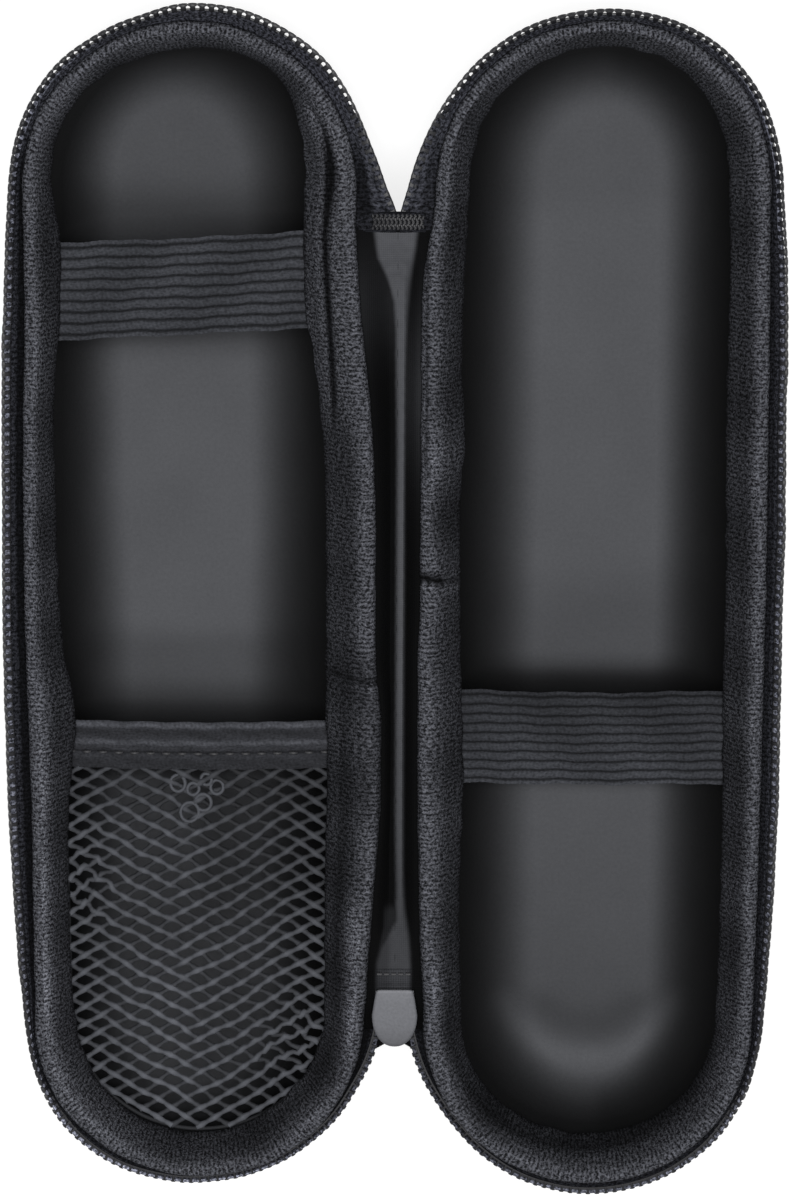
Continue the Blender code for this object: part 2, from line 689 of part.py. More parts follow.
def tab_axis_level():
    """Height of the tab's crossbar, which hangs in the bridge with a clearance under it."""
    return front_face_level() - BRIDGE_INNER_HEIGHT + SEAT_GAP + TAB_CROSSBAR / 2


def rounded_rectangle(half_width, top, bottom, corner):
    """A rectangle's outline with its two lower corners cut at an angle."""
    return [(half_width, top), (-half_width, top), (-half_width, bottom + corner),
            (-half_width + corner, bottom), (half_width - corner, bottom),
            (half_width, bottom + corner)]


def pull_tab(joint, axis_place):
    """The pull tab, hanging from the bridge by the crossbar over its eye."""
    top = TAB_CROSSBAR / 2
    outer = rounded_rectangle(TAB_WIDTH / 2, top, top - TAB_LENGTH, TAB_WIDTH / 4)
    eye_top = -TAB_CROSSBAR / 2
    eye = rounded_rectangle(TAB_EYE_WIDTH / 2, eye_top, eye_top - TAB_EYE_LENGTH,
                            TAB_EYE_WIDTH / 4)
    tab = flat_plate("pull_tab", [outer, eye], TAB_THICKNESS, GREY_METAL, 0.4, 0.6)
    tab.data.transform(Matrix.Rotation(math.pi / 2, 4, "X"))
    carry(tab, joint, axis_place)


def zip_tail(joint):
    """The zip that stays closed at the spine's lower end, and runs into the slider."""
    rows = TAIL_ROWS_HALF_WIDTH
    tape = TAIL_TAPE_THICKNESS / 2
    outline = [(TAIL_HALF_WIDTH, -tape), (TAIL_HALF_WIDTH, tape), (rows, tape),
               (rows, ROW_RADIUS), (-rows, ROW_RADIUS), (-rows, tape),
               (-TAIL_HALF_WIDTH, tape), (-TAIL_HALF_WIDTH, -tape), (-rows, -tape),
               (-rows, -ROW_RADIUS), (rows, -ROW_RADIUS), (rows, -tape)]
    start = GUSSET_BOTTOM - SEAT_GAP
    stop = SLIDER_MOUTH + POST_INSET + POST_LENGTH + SEAT_GAP
    tail = flat_plate("zip_tail", [outline], start - stop, BLACK_TAPE, 0.8)
    tail.data.transform(Matrix.Rotation(math.pi / 2, 4, "X"))
    carry(tail, joint, Vector((0, (start + stop) / 2, TAPE_LEVEL)))


def zip_start_tab(joint):
    """The crossed ends of the two tapes, sewn flat over the spine's upper end."""
    low = GUSSET_TOP + SEAT_GAP
    half = START_TAB_LENGTH / 2

    def place(across, along):
        y = low + half * (1 + along)
        return spine_edge(y, SEAT_GAP) * across, y, TAPE_LEVEL

    part = sheet("zip_start_tab", 4, 2, place, TAPE_THICKNESS, BLACK_TAPE, 0.8)
    carry(part, joint)


def build_half(prefix, side, joint):
    """All pieces that the two halves have alike."""
    moulded_half(prefix, side, joint)
    rim_binding(prefix, side, joint)
    rim_thread(prefix, side, joint)
    zip_side(prefix, side, joint)


def build_case():
    """The whole case, open flat, with the right half as the fixed one."""
    for item in list(bpy.data.objects):
        bpy.data.objects.remove(item)
    make_collection(CASE_NAME)
    make_collection(CUTTERS_NAME)
    right = joint_empty("right_half", Vector((0, 0, 0)))
    hinge = Vector((HINGE_HALF_WIDTH, 0, TAPE_LEVEL))
    spine = joint_empty("spine_axis", hinge, right)
    lid_hinge = Vector((-HINGE_HALF_WIDTH, 0, TAPE_LEVEL))
    left = joint_empty("left_half_axis", lid_hinge, spine)
    tab_place = Vector((0, SLIDER_MIDDLE, tab_axis_level()))
    tab_joint = joint_empty("pull_tab_axis", tab_place, spine)
    build_half("right", RIGHT, right)
    build_half("left", LEFT, left)
    strap("right_strap", RIGHT_STRAP_PLACE, 0.0, RIGHT, right)
    strap("left_strap", LEFT_STRAP_PLACE, -LEFT_STRAP_SLOPE, LEFT, left)
    pocket_hem(LEFT, left)
    pocket_net(LEFT, left)
    gusset(spine)
    zip_start_tab(spine)
    zip_tail(spine)
    slider(spine)
    pull_tab(tab_joint, tab_place)


build_case()
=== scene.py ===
"""The toothbrush travel case as photographed: open flat on a white floor, seen from above.

Sizes are in millimetres and become metres when a mesh is made. A half is drawn about its own
middle line with x towards its outer side, and is then placed at +X, or mirrored at -X.

The rim: a run t goes once round a half, from mid length on the spine side up over the top
end, down the outer side and round the bottom end. It gives a centre on the middle line and a
direction, and a point is the centre plus a radius in that direction. The long sides swell by
(1 - (y / half length) squared) squared. Listed widths round the opening are drawn through
by straight lines and softened by averaging over a few millimetres of run. They were read at
the rim's height, so what lies lower is moved along the line to the camera: the radius grows by
the drop over the camera's height above the rim, times the distance from below the camera.

The bowls: a section of radius and height, a flat floor, a quarter ellipse and a leaning wall,
is carried round the rim and closed on itself.
The binding: a closed section, a quarter ellipse up to the crest, a power curve down the
flank to the hem, and back up along the wall, puckered by a few summed sines. Near the left
strap its height has a crease, a negative bell curve about a listed radius.
The zip: teeth are stamped at one pitch along the row's arc length, and turn with the tape.
Round the top end the tape stops short of the row by a given gap, through which the floor
shows. Along the sides it reaches in under the teeth and is lighter there by painted light.
Straps, hem, spine fabric and bands: a curved grid moved half its thickness both ways along
its normals, with ribs, ridges and troughs as sines and smooth steps.
The net: two families of straight lines over a diamond lattice, pulled slack by sines, and
swept as thin tubes, thicker at the knots. One family is brighter than the other on each side
of three given lines, as the light catches it.
The slider: one outline, a straight tail and a superellipse, scaled and stacked in rings.
The painted light and shade: linings, binding, tapes, straps, hem, net, spine and slider hold a
share for each point, made of smooth steps and bell curves of run, radius and place, which
their materials multiply in.
"""
import math

import bmesh
import bpy
import numpy as np
from mathutils import Matrix, Vector


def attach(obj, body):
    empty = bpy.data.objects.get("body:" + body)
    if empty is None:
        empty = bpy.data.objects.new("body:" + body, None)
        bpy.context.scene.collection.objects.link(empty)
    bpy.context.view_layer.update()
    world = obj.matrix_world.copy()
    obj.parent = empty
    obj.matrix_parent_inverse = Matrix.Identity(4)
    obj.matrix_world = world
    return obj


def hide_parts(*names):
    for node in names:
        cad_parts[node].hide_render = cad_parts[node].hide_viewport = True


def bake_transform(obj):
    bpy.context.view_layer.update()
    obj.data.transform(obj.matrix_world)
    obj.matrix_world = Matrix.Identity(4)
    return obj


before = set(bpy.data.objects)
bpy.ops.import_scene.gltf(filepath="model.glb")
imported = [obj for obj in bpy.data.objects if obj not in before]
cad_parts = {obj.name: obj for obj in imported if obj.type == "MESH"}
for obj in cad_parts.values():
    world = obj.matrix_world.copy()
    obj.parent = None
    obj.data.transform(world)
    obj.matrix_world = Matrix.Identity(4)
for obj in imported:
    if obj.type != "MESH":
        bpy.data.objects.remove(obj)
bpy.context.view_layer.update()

# Sizes shared with the solids
MM = 0.001
STRAIGHT_HALF = 78.5         # middle of the case to the centre of a round end
HALF_SPACING = 37.3          # spine to the middle line of a half
BINDING_OUTER = 30.9         # middle line to the outer edge of the binding, at an end
WALL_TOP_RADIUS = 30.65
WALL_HEIGHT = 21.3
WALL_DRAFT = math.radians(12)
BASE_FILLET = 12.0
FLOOR_HALF_WIDTH = 16.4
SKIN_THICKNESS = 0.8
LINING_DEPTH = 3.6           # back to the hidden face of the lining
LINING_THICKNESS = 0.3       # thinner than the solid's
LINING_FACE = LINING_DEPTH + LINING_THICKNESS
BOW_OUTER = 1.2
BOW_SPINE = 2.4
TAPE_LEVEL = 21.9
RIM_LEVEL = 24.0

UPWARD = np.array([0.0, 0.0, 1.0])
CAMERA_PLACE = Vector((0, 0.146, 0.7069))  # in metres

RIGHT = 1
LEFT = -1
HALVES = {"right": RIGHT, "left": LEFT}

# Rim path
PATH_RADIUS = 28.0           # about which a run is counted at the round ends
END_RUN = math.pi * PATH_RADIUS
TOP_START = STRAIGHT_HALF
TOP_END = TOP_START + END_RUN
BOTTOM_START = TOP_END + 2 * STRAIGHT_HALF
BOTTOM_END = BOTTOM_START + END_RUN
ROUND = BOTTOM_END + STRAIGHT_HALF

# Read from the photograph, as runs and the radii there at the height of the rim: the edge
# of the opening, the outer edge of the binding, and the tips of the zip's teeth
OPENING = {
    LEFT: [
        (0, 24.3), (20, 24.2), (30, 23.9), (40, 23.0), (48, 22.0), (55, 20.4), (70, 20.1),
        (80, 20.4), (90, 21.9), (96, 23.3), (103, 25.6), (110, 26.0), (120, 25.5), (127, 25.1),
        (135, 25.2), (146, 26.0), (155, 26.0), (165, 25.4), (170, 24.9), (176, 23.7), (194, 24.3),
        (200, 25.1), (210, 25.6), (230, 25.3), (243, 25.1), (255, 24.2), (263, 22.4), (267, 22.1),
        (280, 23.5), (290, 24.0), (310, 23.9), (320, 23.6), (331, 22.4), (360, 22.2), (388, 22.1),
        (400, 23.0), (410, 24.0), (440, 24.1), (460, 24.6), (470, 24.2)],
    RIGHT: [
        (0, 25.5), (20, 25.7), (33, 24.7), (45, 25.6), (60, 25.3), (77, 24.4), (86, 24.6),
        (95, 25.6), (120, 26.0), (136, 25.9), (145, 24.9), (160, 22.8), (166, 22.4), (180, 23.0),
        (210, 22.8), (240, 23.5), (258, 23.3), (285, 23.8), (310, 23.7), (322, 23.4), (335, 22.7),
        (350, 22.3), (362, 21.9), (375, 22.3), (385, 23.0), (400, 24.2), (420, 25.0), (435, 25.3),
        (455, 24.6), (475, 25.2)]}
EDGE = {
    LEFT: [
        (0, 33.5), (20, 33.5), (35, 32.8), (45, 31.9), (52, 31.0), (60, 30.4), (70, 29.7),
        (85, 29.9), (100, 30.2), (120, 30.3), (160, 30.2), (178, 30.1), (192, 30.1), (205, 30.6),
        (220, 30.9), (246, 31.0), (270, 30.5), (285, 30.2), (300, 30.3), (320, 30.2), (340, 30.6),
        (360, 30.8), (380, 31.2), (400, 31.1), (410, 31.5), (420, 32.2), (440, 33.6), (447, 34.2),
        (453, 34.6), (460, 34.65), (474, 34.6), (478, 33.4), (484, 33.5)],
    RIGHT: [
        (0, 33.0), (30, 33.0), (60, 33.0), (66, 32.4), (72, 31.1), (78, 30.5), (90, 30.6),
        (120, 30.6), (140, 31.0), (150, 30.6), (160, 29.6), (172, 29.6), (190, 30.0), (210, 30.2),
        (240, 30.5), (280, 30.4), (300, 30.3), (324, 29.9), (331, 29.9), (340, 30.6), (350, 31.5),
        (360, 31.9), (380, 32.1), (400, 32.0), (408, 31.9), (418, 32.1), (426, 32.7), (440, 33.0),
        (455, 33.3), (482, 33.4)]}
TIPS = {
    LEFT: [
        (73, 36.9), (75.5, 36.3), (80, 34.3), (85, 33.0), (90, 32.6), (100, 33.2), (120, 33.1),
        (125, 32.8), (131, 32.1), (140, 32.2), (147, 32.7), (165, 32.7), (175, 33.5), (190, 34.1),
        (196, 34.5), (225, 34.9), (250, 35.2), (280, 34.8), (300, 34.0), (314, 33.2), (325, 32.2),
        (332, 32.2), (342, 32.8), (350, 32.8), (360, 32.3), (370, 31.9), (380, 31.9), (390, 32.2),
        (400, 32.8), (407, 34.0), (412, 35.0)],
    RIGHT: [
        (73, 36.9), (75.5, 36.3), (80, 34.7), (85, 33.7), (90, 32.9), (97, 32.5), (120, 32.3),
        (130, 32.5), (140, 32.9), (150, 32.6), (160, 32.0), (166, 32.0), (180, 33.1), (200, 33.6),
        (205, 33.4), (230, 33.9), (240, 33.7), (280, 33.9), (300, 33.4), (314, 32.7), (326, 31.9),
        (332, 32.0), (345, 33.1), (355, 33.7), (370, 34.0), (380, 33.7), (390, 33.0), (397, 33.1),
        (407, 34.3), (412, 35.2)]}


def smooth(value):
    """Ease a share from 0 to 1 with a level start and end."""
    share = np.clip(value, 0.0, 1.0)
    return share * share * (3 - 2 * share)


def ramp(value, start, width):
    """0 up to a start and 1 past a width from it, either way, with an eased rise between."""
    return smooth((value - start) / width)


def bump(value, middle, width):
    """A rounded bump of height 1 about a middle."""
    return np.exp(-((value - middle) / width) ** 2)


def read(table, at, column=1, period=None):
    """A table's value at a place, on straight lines between its rows."""
    rows = np.array(table, float)
    return np.interp(at, rows[:, 0], rows[:, column], period=period)


def between(at, marks, rows):
    """Rows of x, y and z at places on straight lines between their marks."""
    return np.stack([np.interp(at, marks, rows[:, k]) for k in range(3)], 1)


def points_at(x, y, z):
    """Points from x, y and z that fit together as arrays."""
    return np.stack(np.broadcast_arrays(x, y, z), -1)


def unit(vectors):
    """Vectors made one long."""
    return vectors / np.maximum(np.linalg.norm(vectors, axis=-1, keepdims=True), 1e-9)


def arc_length(path):
    """Length along a path at each of its points."""
    return np.linalg.norm(np.diff(path, axis=0, prepend=path[:1]), axis=1).cumsum()


def rim_frame(run):
    """Centre y and direction of the rim at a run."""
    run = np.mod(run, ROUND)
    knots = [0, TOP_START, TOP_END, BOTTOM_START, BOTTOM_END, ROUND]
    reach = [0, STRAIGHT_HALF, STRAIGHT_HALF, -STRAIGHT_HALF, -STRAIGHT_HALF, 0]
    turns = [math.pi, math.pi, 0, 0, -math.pi, -math.pi]
    return np.interp(run, knots, reach), np.interp(run, knots, turns)


def bowed(y, outer):
    """What a width is multiplied by at a place y, as the outer or the spine side swells."""
    swell = (1 - np.clip(np.abs(y) / STRAIGHT_HALF, 0, 1) ** 2) ** 2
    return 1 + np.where(outer, BOW_OUTER, BOW_SPINE) * swell / BINDING_OUTER


def bow(run):
    """What a radius is multiplied by round the rim."""
    centre, turn = rim_frame(run)
    return bowed(centre, np.cos(turn) > 0)


def rim_point(run, radius, height):
    """Points of a half, from runs, radii and heights that fit together as arrays."""
    centre, turn = rim_frame(run)
    return points_at(radius * np.cos(turn), centre + radius * np.sin(turn), height)


def read_round(table, run, soften=4.0, samples=9):
    """A table of run and value, drawn round the rim and softened."""
    return sum(read(table, run + offset, period=ROUND)
               for offset in np.linspace(-soften, soften, samples)) / samples


def as_seen(run, radius, level):
    """The real radius of what lies at a level, from its radius read at the rim's height."""
    centre, turn = rim_frame(run)
    x = HALF_SPACING + radius * np.cos(turn)
    y = centre + radius * np.sin(turn) - CAMERA_PLACE[1] / MM
    below = (RIM_LEVEL - level) / (CAMERA_PLACE[2] / MM - RIM_LEVEL)
    return radius + below * (x * np.cos(turn) + y * np.sin(turn))


def waver(run, seed, low, high, terms=7):
    """A repeatable wander round the rim, about 1 high, between two counts of waves."""
    random = np.random.default_rng(seed)
    counts = random.integers(low, high, terms)
    phases = random.uniform(0, 2 * math.pi, terms)
    total = sum(np.sin(2 * math.pi * n * run / ROUND + phase) for n, phase in zip(counts, phases))
    return total / math.sqrt(terms)


def wall_radius(height, depth=0.0):
    """Radius of the surface a depth inside the wall's outer face, at a height."""
    lean = (height - WALL_HEIGHT) * math.tan(WALL_DRAFT)
    return WALL_TOP_RADIUS + lean - depth / math.cos(WALL_DRAFT)


def both_faces(shade):
    """A sheet's shade, carried round from one face to the other."""
    return np.concatenate([shade, shade[:, ::-1]], 1)


def add_object(name, data):
    """A new object in the scene."""
    added = bpy.data.objects.new(name, data)
    bpy.context.scene.collection.objects.link(added)
    return added


class Shape:
    """Points, faces and UV corners, gathered from grids, tubes and stamps."""

    def __init__(self):
        self.points, self.faces, self.corners, self.count = [], [], [], 0

    def grid(self, points, u=None, v=None, wrap_u=False, wrap_v=False, strip_caps=False):
        """Skin a grid of points. Its UV runs in millimetres if u and v are given."""
        rows, columns = points.shape[:2]
        u = np.arange(rows + 1.0) if u is None else np.asarray(u, float)
        v = np.arange(columns + 1.0) if v is None else np.asarray(v, float)
        i, j = np.meshgrid(np.arange(rows if wrap_u else rows - 1),
                           np.arange(columns if wrap_v else columns - 1), indexing="ij")
        i, j = i.ravel(), j.ravel()
        at_u = np.stack([i, i + 1, i + 1, i], 1)
        at_v = np.stack([j, j, j + 1, j + 1], 1)
        index = self.count + (at_u % rows) * columns + at_v % columns
        self.faces.extend(index.tolist())
        self.corners.append(np.stack([u[at_u], v[at_v]], -1).reshape(-1, 2))
        if strip_caps:
            first = np.arange(columns // 2 - 1)
            last = columns - 1 - first
            for start in (0, (rows - 1) * columns):
                quads = self.count + start + np.stack([first, first + 1, last - 1, last], 1)
                self.faces.extend(quads.tolist())
                self.corners.append(np.zeros((quads.size, 2)))
        self.points.append(points.reshape(-1, 3))
        self.count += rows * columns

    def sheet(self, points, thickness, u, v):
        """A fabric grid, moved half its thickness both ways along its normals."""
        across = np.gradient(points, axis=1)
        along = np.gradient(points, axis=0)
        offset = unit(np.cross(along, across)) * thickness / 2
        ring = np.concatenate([points + offset, (points - offset)[:, ::-1]], 1)
        self.grid(ring, u=u, v=np.concatenate([v, v[::-1], v[:1]]), wrap_v=True, strip_caps=True)

    def tube(self, path, radius, sides=6, closed=False):
        """Sweep a circle along a path, with flat ends. Upright parts of a path get no width."""
        path = np.asarray(path, float)
        if closed:
            along = np.roll(path, -1, 0) - np.roll(path, 1, 0)
        else:
            along = np.gradient(path, axis=0)
        along = unit(along)
        across = unit(np.cross(along, UPWARD))
        upward = np.cross(across, along)
        turn = np.arange(sides) * 2 * math.pi / sides
        size = np.broadcast_to(np.asarray(radius, float), (len(path),))
        circle = across[:, None] * np.cos(turn)[:, None] + upward[:, None] * np.sin(turn)[:, None]
        ring = path[:, None] + circle * size[:, None, None]
        lengths = arc_length(path)
        u = np.append(lengths, lengths[-1] + 1)
        v = np.linspace(0, 2 * math.pi * size.mean(), sides + 1)
        start = self.count
        self.grid(ring, u=u, v=v, wrap_u=closed, wrap_v=True)
        if not closed:
            for base, flip in ((start, 1), (start + (len(path) - 1) * sides, -1)):
                self.faces.append([base + side for side in range(sides)][::flip])
                self.corners.append(np.zeros((sides, 2)))

    def stamp(self, points, faces, places, axes):
        """Copy a small shape to many places. Axes are its three directions at each place."""
        spread = np.einsum("pk,nkc->npc", points, axes) + places[:, None]
        for index in range(len(places)):
            base = self.count + index * len(points)
            self.faces.extend([[base + corner for corner in face] for face in faces])
        self.corners.append(np.zeros((len(places) * sum(len(face) for face in faces), 2)))
        self.points.append(spread.reshape(-1, 3))
        self.count += len(places) * len(points)

    def build(self, name, material, side=0, sharp=50, weld=False, shade=None):
        """Make the piece. A side places or mirrors what was drawn about a half's middle line.

        A shade is a share of painted light and shade for each point, which the material reads as
        an attribute.
        """
        points = np.concatenate(self.points)
        if side:
            points = points * [side, 1, 1] + [side * HALF_SPACING, 0, 0]
        mesh = bpy.data.meshes.new(name)
        mesh.from_pydata((points * MM).tolist(), [], self.faces)
        if shade is not None:
            layer = mesh.attributes.new("shade", "FLOAT", "POINT")
            layer.data.foreach_set("value", np.ravel(shade).astype(np.float32))
        layer = mesh.uv_layers.new(name="UVMap")
        layer.data.foreach_set("uv", np.concatenate(self.corners).ravel())
        bm = bmesh.new()
        bm.from_mesh(mesh)
        if weld:
            bmesh.ops.remove_doubles(bm, verts=bm.verts, dist=1e-6)
        bmesh.ops.recalc_face_normals(bm, faces=bm.faces[:])
        bm.to_mesh(mesh)
        bm.free()
        mesh.shade_smooth()
        mesh.set_sharp_from_angle(angle=math.radians(sharp))
        mesh.materials.append(material)
        piece = add_object(name, mesh)
        return piece


def stand_in(piece, node, body):
    """Let a piece take a solid's place and ride on a body."""
    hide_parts(node)
    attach(piece, body)


class Socket:
    """A socket of a node tree that takes part in sums."""

    def __init__(self, finish, socket):
        self.finish, self.socket = finish, socket

    def math(self, operation, first, second):
        return self.finish.node("ShaderNodeMath", {"operation": operation}, {0: first, 1: second})

    def __add__(self, other):
        return self.math("ADD", self, other)

    def __radd__(self, other):
        return self.math("ADD", other, self)

    def __sub__(self, other):
        return self.math("SUBTRACT", self, other)

    def __mul__(self, other):
        return self.math("MULTIPLY", self, other)

    def __rmul__(self, other):
        return self.math("MULTIPLY", other, self)


class Finish:
    """A procedural material: nodes are added by type, settings, and socket values or links."""

    def __init__(self, name):
        self.material = bpy.data.materials.new(name)
        self.material.use_nodes = True
        self.nodes = self.material.node_tree.nodes
        self.links = self.material.node_tree.links
        self.shader = self.nodes["Principled BSDF"]
        self.coordinates = self.nodes.new("ShaderNodeTexCoord")

    def node(self, kind, settings, inputs, output=0):
        """Add a node and return its output, ready for sums."""
        added = self.nodes.new(kind)
        for key, value in settings.items():
            setattr(added, key, value)
        for key, value in inputs.items():
            self.feed(added.inputs[key], value)
        return Socket(self, added.outputs[output])

    def feed(self, target, value):
        """Link a socket, or set a value."""
        if isinstance(value, Socket):
            self.links.new(value.socket, target)
        else:
            target.default_value = value

    def place(self, kind="Object"):
        """The object's own coordinates in metres, or the UV in millimetres."""
        return Socket(self, self.coordinates.outputs[kind])

    def shade(self):
        """The painted light and shade that the mesh holds for each point."""
        return self.node("ShaderNodeAttribute", {"attribute_name": "shade"}, {}, output=2)

    def split(self, vector):
        """The three parts of a vector."""
        parts = self.node("ShaderNodeSeparateXYZ", {}, {0: vector})
        return [Socket(self, output) for output in parts.socket.node.outputs]

    def join(self, x, y):
        return self.node("ShaderNodeCombineXYZ", {}, {0: x, 1: y})

    def noise(self, vector, scale, detail=2.0, roughness=0.5):
        """Soft noise from 0 to 1 about 0.5."""
        return self.node("ShaderNodeTexNoise", {"noise_dimensions": "3D"},
                         {"Vector": vector, "Scale": scale, "Detail": detail,
                          "Roughness": roughness})

    def sine(self, value):
        return self.node("ShaderNodeMath", {"operation": "SINE"}, {0: value})

    def step(self, value, low, high):
        """A smooth step from 0 at low to 1 at high."""
        return self.node("ShaderNodeMapRange", {"interpolation_type": "SMOOTHSTEP"},
                         {"Value": value, "From Min": low, "From Max": high})

    def tint(self, color, share):
        """A colour multiplied by a share that varies."""
        return self.node("ShaderNodeVectorMath", {"operation": "SCALE"},
                         {0: color, "Scale": share})

    def raised(self, height, distance, strength=1.0):
        """Bend the surface's normal by a height that varies."""
        normal = self.node("ShaderNodeBump", {}, {"Height": height, "Distance": distance,
                                                  "Strength": strength})
        self.feed(self.shader.inputs["Normal"], normal)

    def finish(self, color, roughness, **values):
        """Set the shader's own values, and return the material."""
        if not isinstance(color, Socket):
            color = (*color, 1.0)
        self.feed(self.shader.inputs["Base Color"], color)
        self.feed(self.shader.inputs["Roughness"], roughness)
        for key, value in values.items():
            self.shader.inputs[key.replace("_", " ")].default_value = value
        return self.material


def woven(name, color, pitch, depth, speckle, shaded=False):
    """Plain weave: two crossed sines of a pitch in metres, with uneven yarns."""
    finish = Finish(name)
    x, y, _ = finish.split(finish.place())
    turn = 2 * math.pi / pitch
    over = finish.sine((x + y) * turn) * finish.sine((y - x) * turn) * 0.5 + 0.5
    uneven = finish.noise(finish.place(), 900.0, 3.0)
    share = over * speckle + uneven * speckle + (1 - speckle)
    finish.raised(over + uneven * 0.5, depth)
    tinted = finish.tint(color, share)
    if shaded:
        tinted = finish.tint(tinted, finish.shade())
    return finish.finish(tinted, 0.85, Specular_IOR_Level=0.06)


def brushed_knit(name, color):
    """The lining: fine brushed loops, darker towards its walls by the mesh's painted shade."""
    finish = Finish(name)
    place = finish.place()
    fine = finish.noise(place, 1500.0, 3.0, 0.7)
    broad = finish.noise(place, 60.0, 3.0)
    finish.raised(fine + broad * 2.0, 0.00012, 0.8)
    share = (fine * 0.35 + broad * 0.25 + 0.7) * finish.shade()
    return finish.finish(finish.tint(color, share), 0.85, Specular_IOR_Level=0.12)


def ribbed_tape(name, color):
    """Short uneven ribs across a tape, under the painted light and shade that the mesh holds."""
    finish = Finish(name)
    run, width, _ = finish.split(finish.place("UV"))
    phase = finish.noise(finish.join(run * 0.5, width * 0.5), 1.0, 2.0) * 11
    rib = finish.sine(run * 7.0 + phase) * 0.5 + 0.5
    streak = finish.noise(finish.join(run * 1.5, width * 1.1), 1.0, 2.0, 0.6)
    grain = finish.noise(finish.join(run * 2.8, width * 2.4), 1.0, 1.0)
    uneven = finish.step(rib * 0.16 + streak * 1.0 + grain * 0.75, 0.71, 1.27)
    finish.raised(uneven, 0.00025, 0.8)
    share = (uneven * 2.0 + 0.10) * finish.shade()
    return finish.finish(finish.tint(color, share), 0.85, Specular_IOR_Level=0.06)


def knitted_elastic(name, color):
    """Ribbed elastic: fine knit, darker in the modelled grooves by the mesh's painted shade."""
    finish = Finish(name)
    along, across, _ = finish.split(finish.place("UV"))
    knit = finish.sine(along * 8.0 + finish.sine(across * 3.1) * 1.5) * 0.5 + 0.5
    uneven = finish.noise(finish.join(along * 1.1, across * 3.0), 1.0, 3.0, 0.7)
    share = (knit * 0.15 + uneven * 2.4 - 0.28) * finish.shade()
    finish.raised(knit * 0.4 + uneven, 0.0002, 0.8)
    return finish.finish(finish.tint(color, share), 0.85, Specular_IOR_Level=0.12)


def plain(name, color, roughness, depth=0.0, scale=700.0, shaded=False, **values):
    """A plain finish with a little noise, and painted light and shade where the mesh has one."""
    finish = Finish(name)
    grain = finish.noise(finish.place(), scale, 3.0)
    if depth:
        finish.raised(grain, depth, 0.6)
    share = grain * 0.5 + 0.75
    if shaded:
        share = share * finish.shade()
    return finish.finish(finish.tint(color, share), roughness, **values)


# Colours by comparison with the photograph
SKIN = woven("skin_weave", (0.031, 0.031, 0.034), 0.0014, 0.00012, 0.3)
# The spine's colour is that of its painted lit strip; its painted shade darkens the rest
SPINE = woven("spine_weave", (0.082, 0.084, 0.092), 0.0007, 0.00006, 0.25, shaded=True)
TAPE = ribbed_tape("zip_tape_ribs", (0.024, 0.025, 0.031))
LINING = brushed_knit("lining_knit", (0.085, 0.087, 0.094))
BINDING = ribbed_tape("binding_ribs", (0.064, 0.066, 0.076))
STRAP = knitted_elastic("strap_knit", (0.043, 0.045, 0.052))
HEM = knitted_elastic("hem_knit", (0.063, 0.065, 0.075))
NET = plain("net_yarn", (0.079, 0.083, 0.095), 0.75, 0.00008, 2500.0, shaded=True,
            Specular_IOR_Level=0.25)
THREAD = plain("thread", (0.012, 0.012, 0.014), 0.6)
TEETH = plain("zip_teeth", (0.010, 0.010, 0.012), 0.4, Specular_IOR_Level=0.3)
METAL = plain("tab_coat", (0.135, 0.137, 0.147), 0.5, Metallic=0.35)
SLIDER = plain("slider_coat", (0.097, 0.099, 0.110), 0.55, 0.00004, 1900.0, shaded=True,
               Metallic=0.3)
# The tail band takes the spine's painted lit strip too
TAIL = woven("tail_weave", (0.070, 0.072, 0.080), 0.0009, 0.0001, 0.55, shaded=True)
FOAM = plain("foam_cells", (0.02, 0.02, 0.02), 0.9)


LINING_SET_IN = 1.4          # floor's edge to where the lining starts to rise
LINING_RISEN = 17.0          # level at which its curve reaches the wall
FLOOR_STEPS = 4
CORNER_STEPS = 12


def bowl_face(inset):
    """Radii and heights of a face from the floor's centre up to the rim, an inset inside."""
    reach = BASE_FILLET - inset
    turn = np.linspace(0, math.pi / 2 - WALL_DRAFT, CORNER_STEPS)
    radii = (np.linspace(0, FLOOR_HALF_WIDTH, FLOOR_STEPS, endpoint=False),
             FLOOR_HALF_WIDTH + reach * np.sin(turn), [wall_radius(WALL_HEIGHT, inset)])
    heights = (np.full(FLOOR_STEPS, inset), BASE_FILLET - reach * np.cos(turn), [WALL_HEIGHT])
    return np.concatenate(radii), np.concatenate(heights)


def lining_face(inset):
    """The same for the lining, which leaves the floor sooner and in a wider curve."""
    start = FLOOR_HALF_WIDTH - LINING_SET_IN
    reach = wall_radius(LINING_RISEN, inset) - start
    turn = np.linspace(0, math.pi / 2, 2 * CORNER_STEPS)
    radii = np.concatenate([np.linspace(0, start, 3 * FLOOR_STEPS, endpoint=False),
                            start + reach * np.sin(turn), [wall_radius(WALL_HEIGHT, inset)]])
    heights = np.concatenate([np.full(3 * FLOOR_STEPS, inset),
                              inset + (LINING_RISEN - inset) * (1 - np.cos(turn)), [WALL_HEIGHT]])
    return np.minimum(radii, wall_radius(heights, inset)), heights


def bowl_section(outer, inner):
    """Radii and heights up the outer face and back down the inner, and where that starts."""
    return (np.concatenate([outer[0], inner[0][::-1]]),
            np.concatenate([outer[1], inner[1][::-1]]), len(outer[0]))


# Half widths of the painted lit floor by y, and how far they lie towards the outer side
LEFT_LIT = [(-80, 13.0), (-30, 12.0), (-20, 10.4), (-8, 10.5), (20, 11.5), (60, 11.4), (80, 11.3)]
LEFT_SHIFT = [(-20, 2.0), (20, 2.0), (50, 2.4), (80, 3.4)]
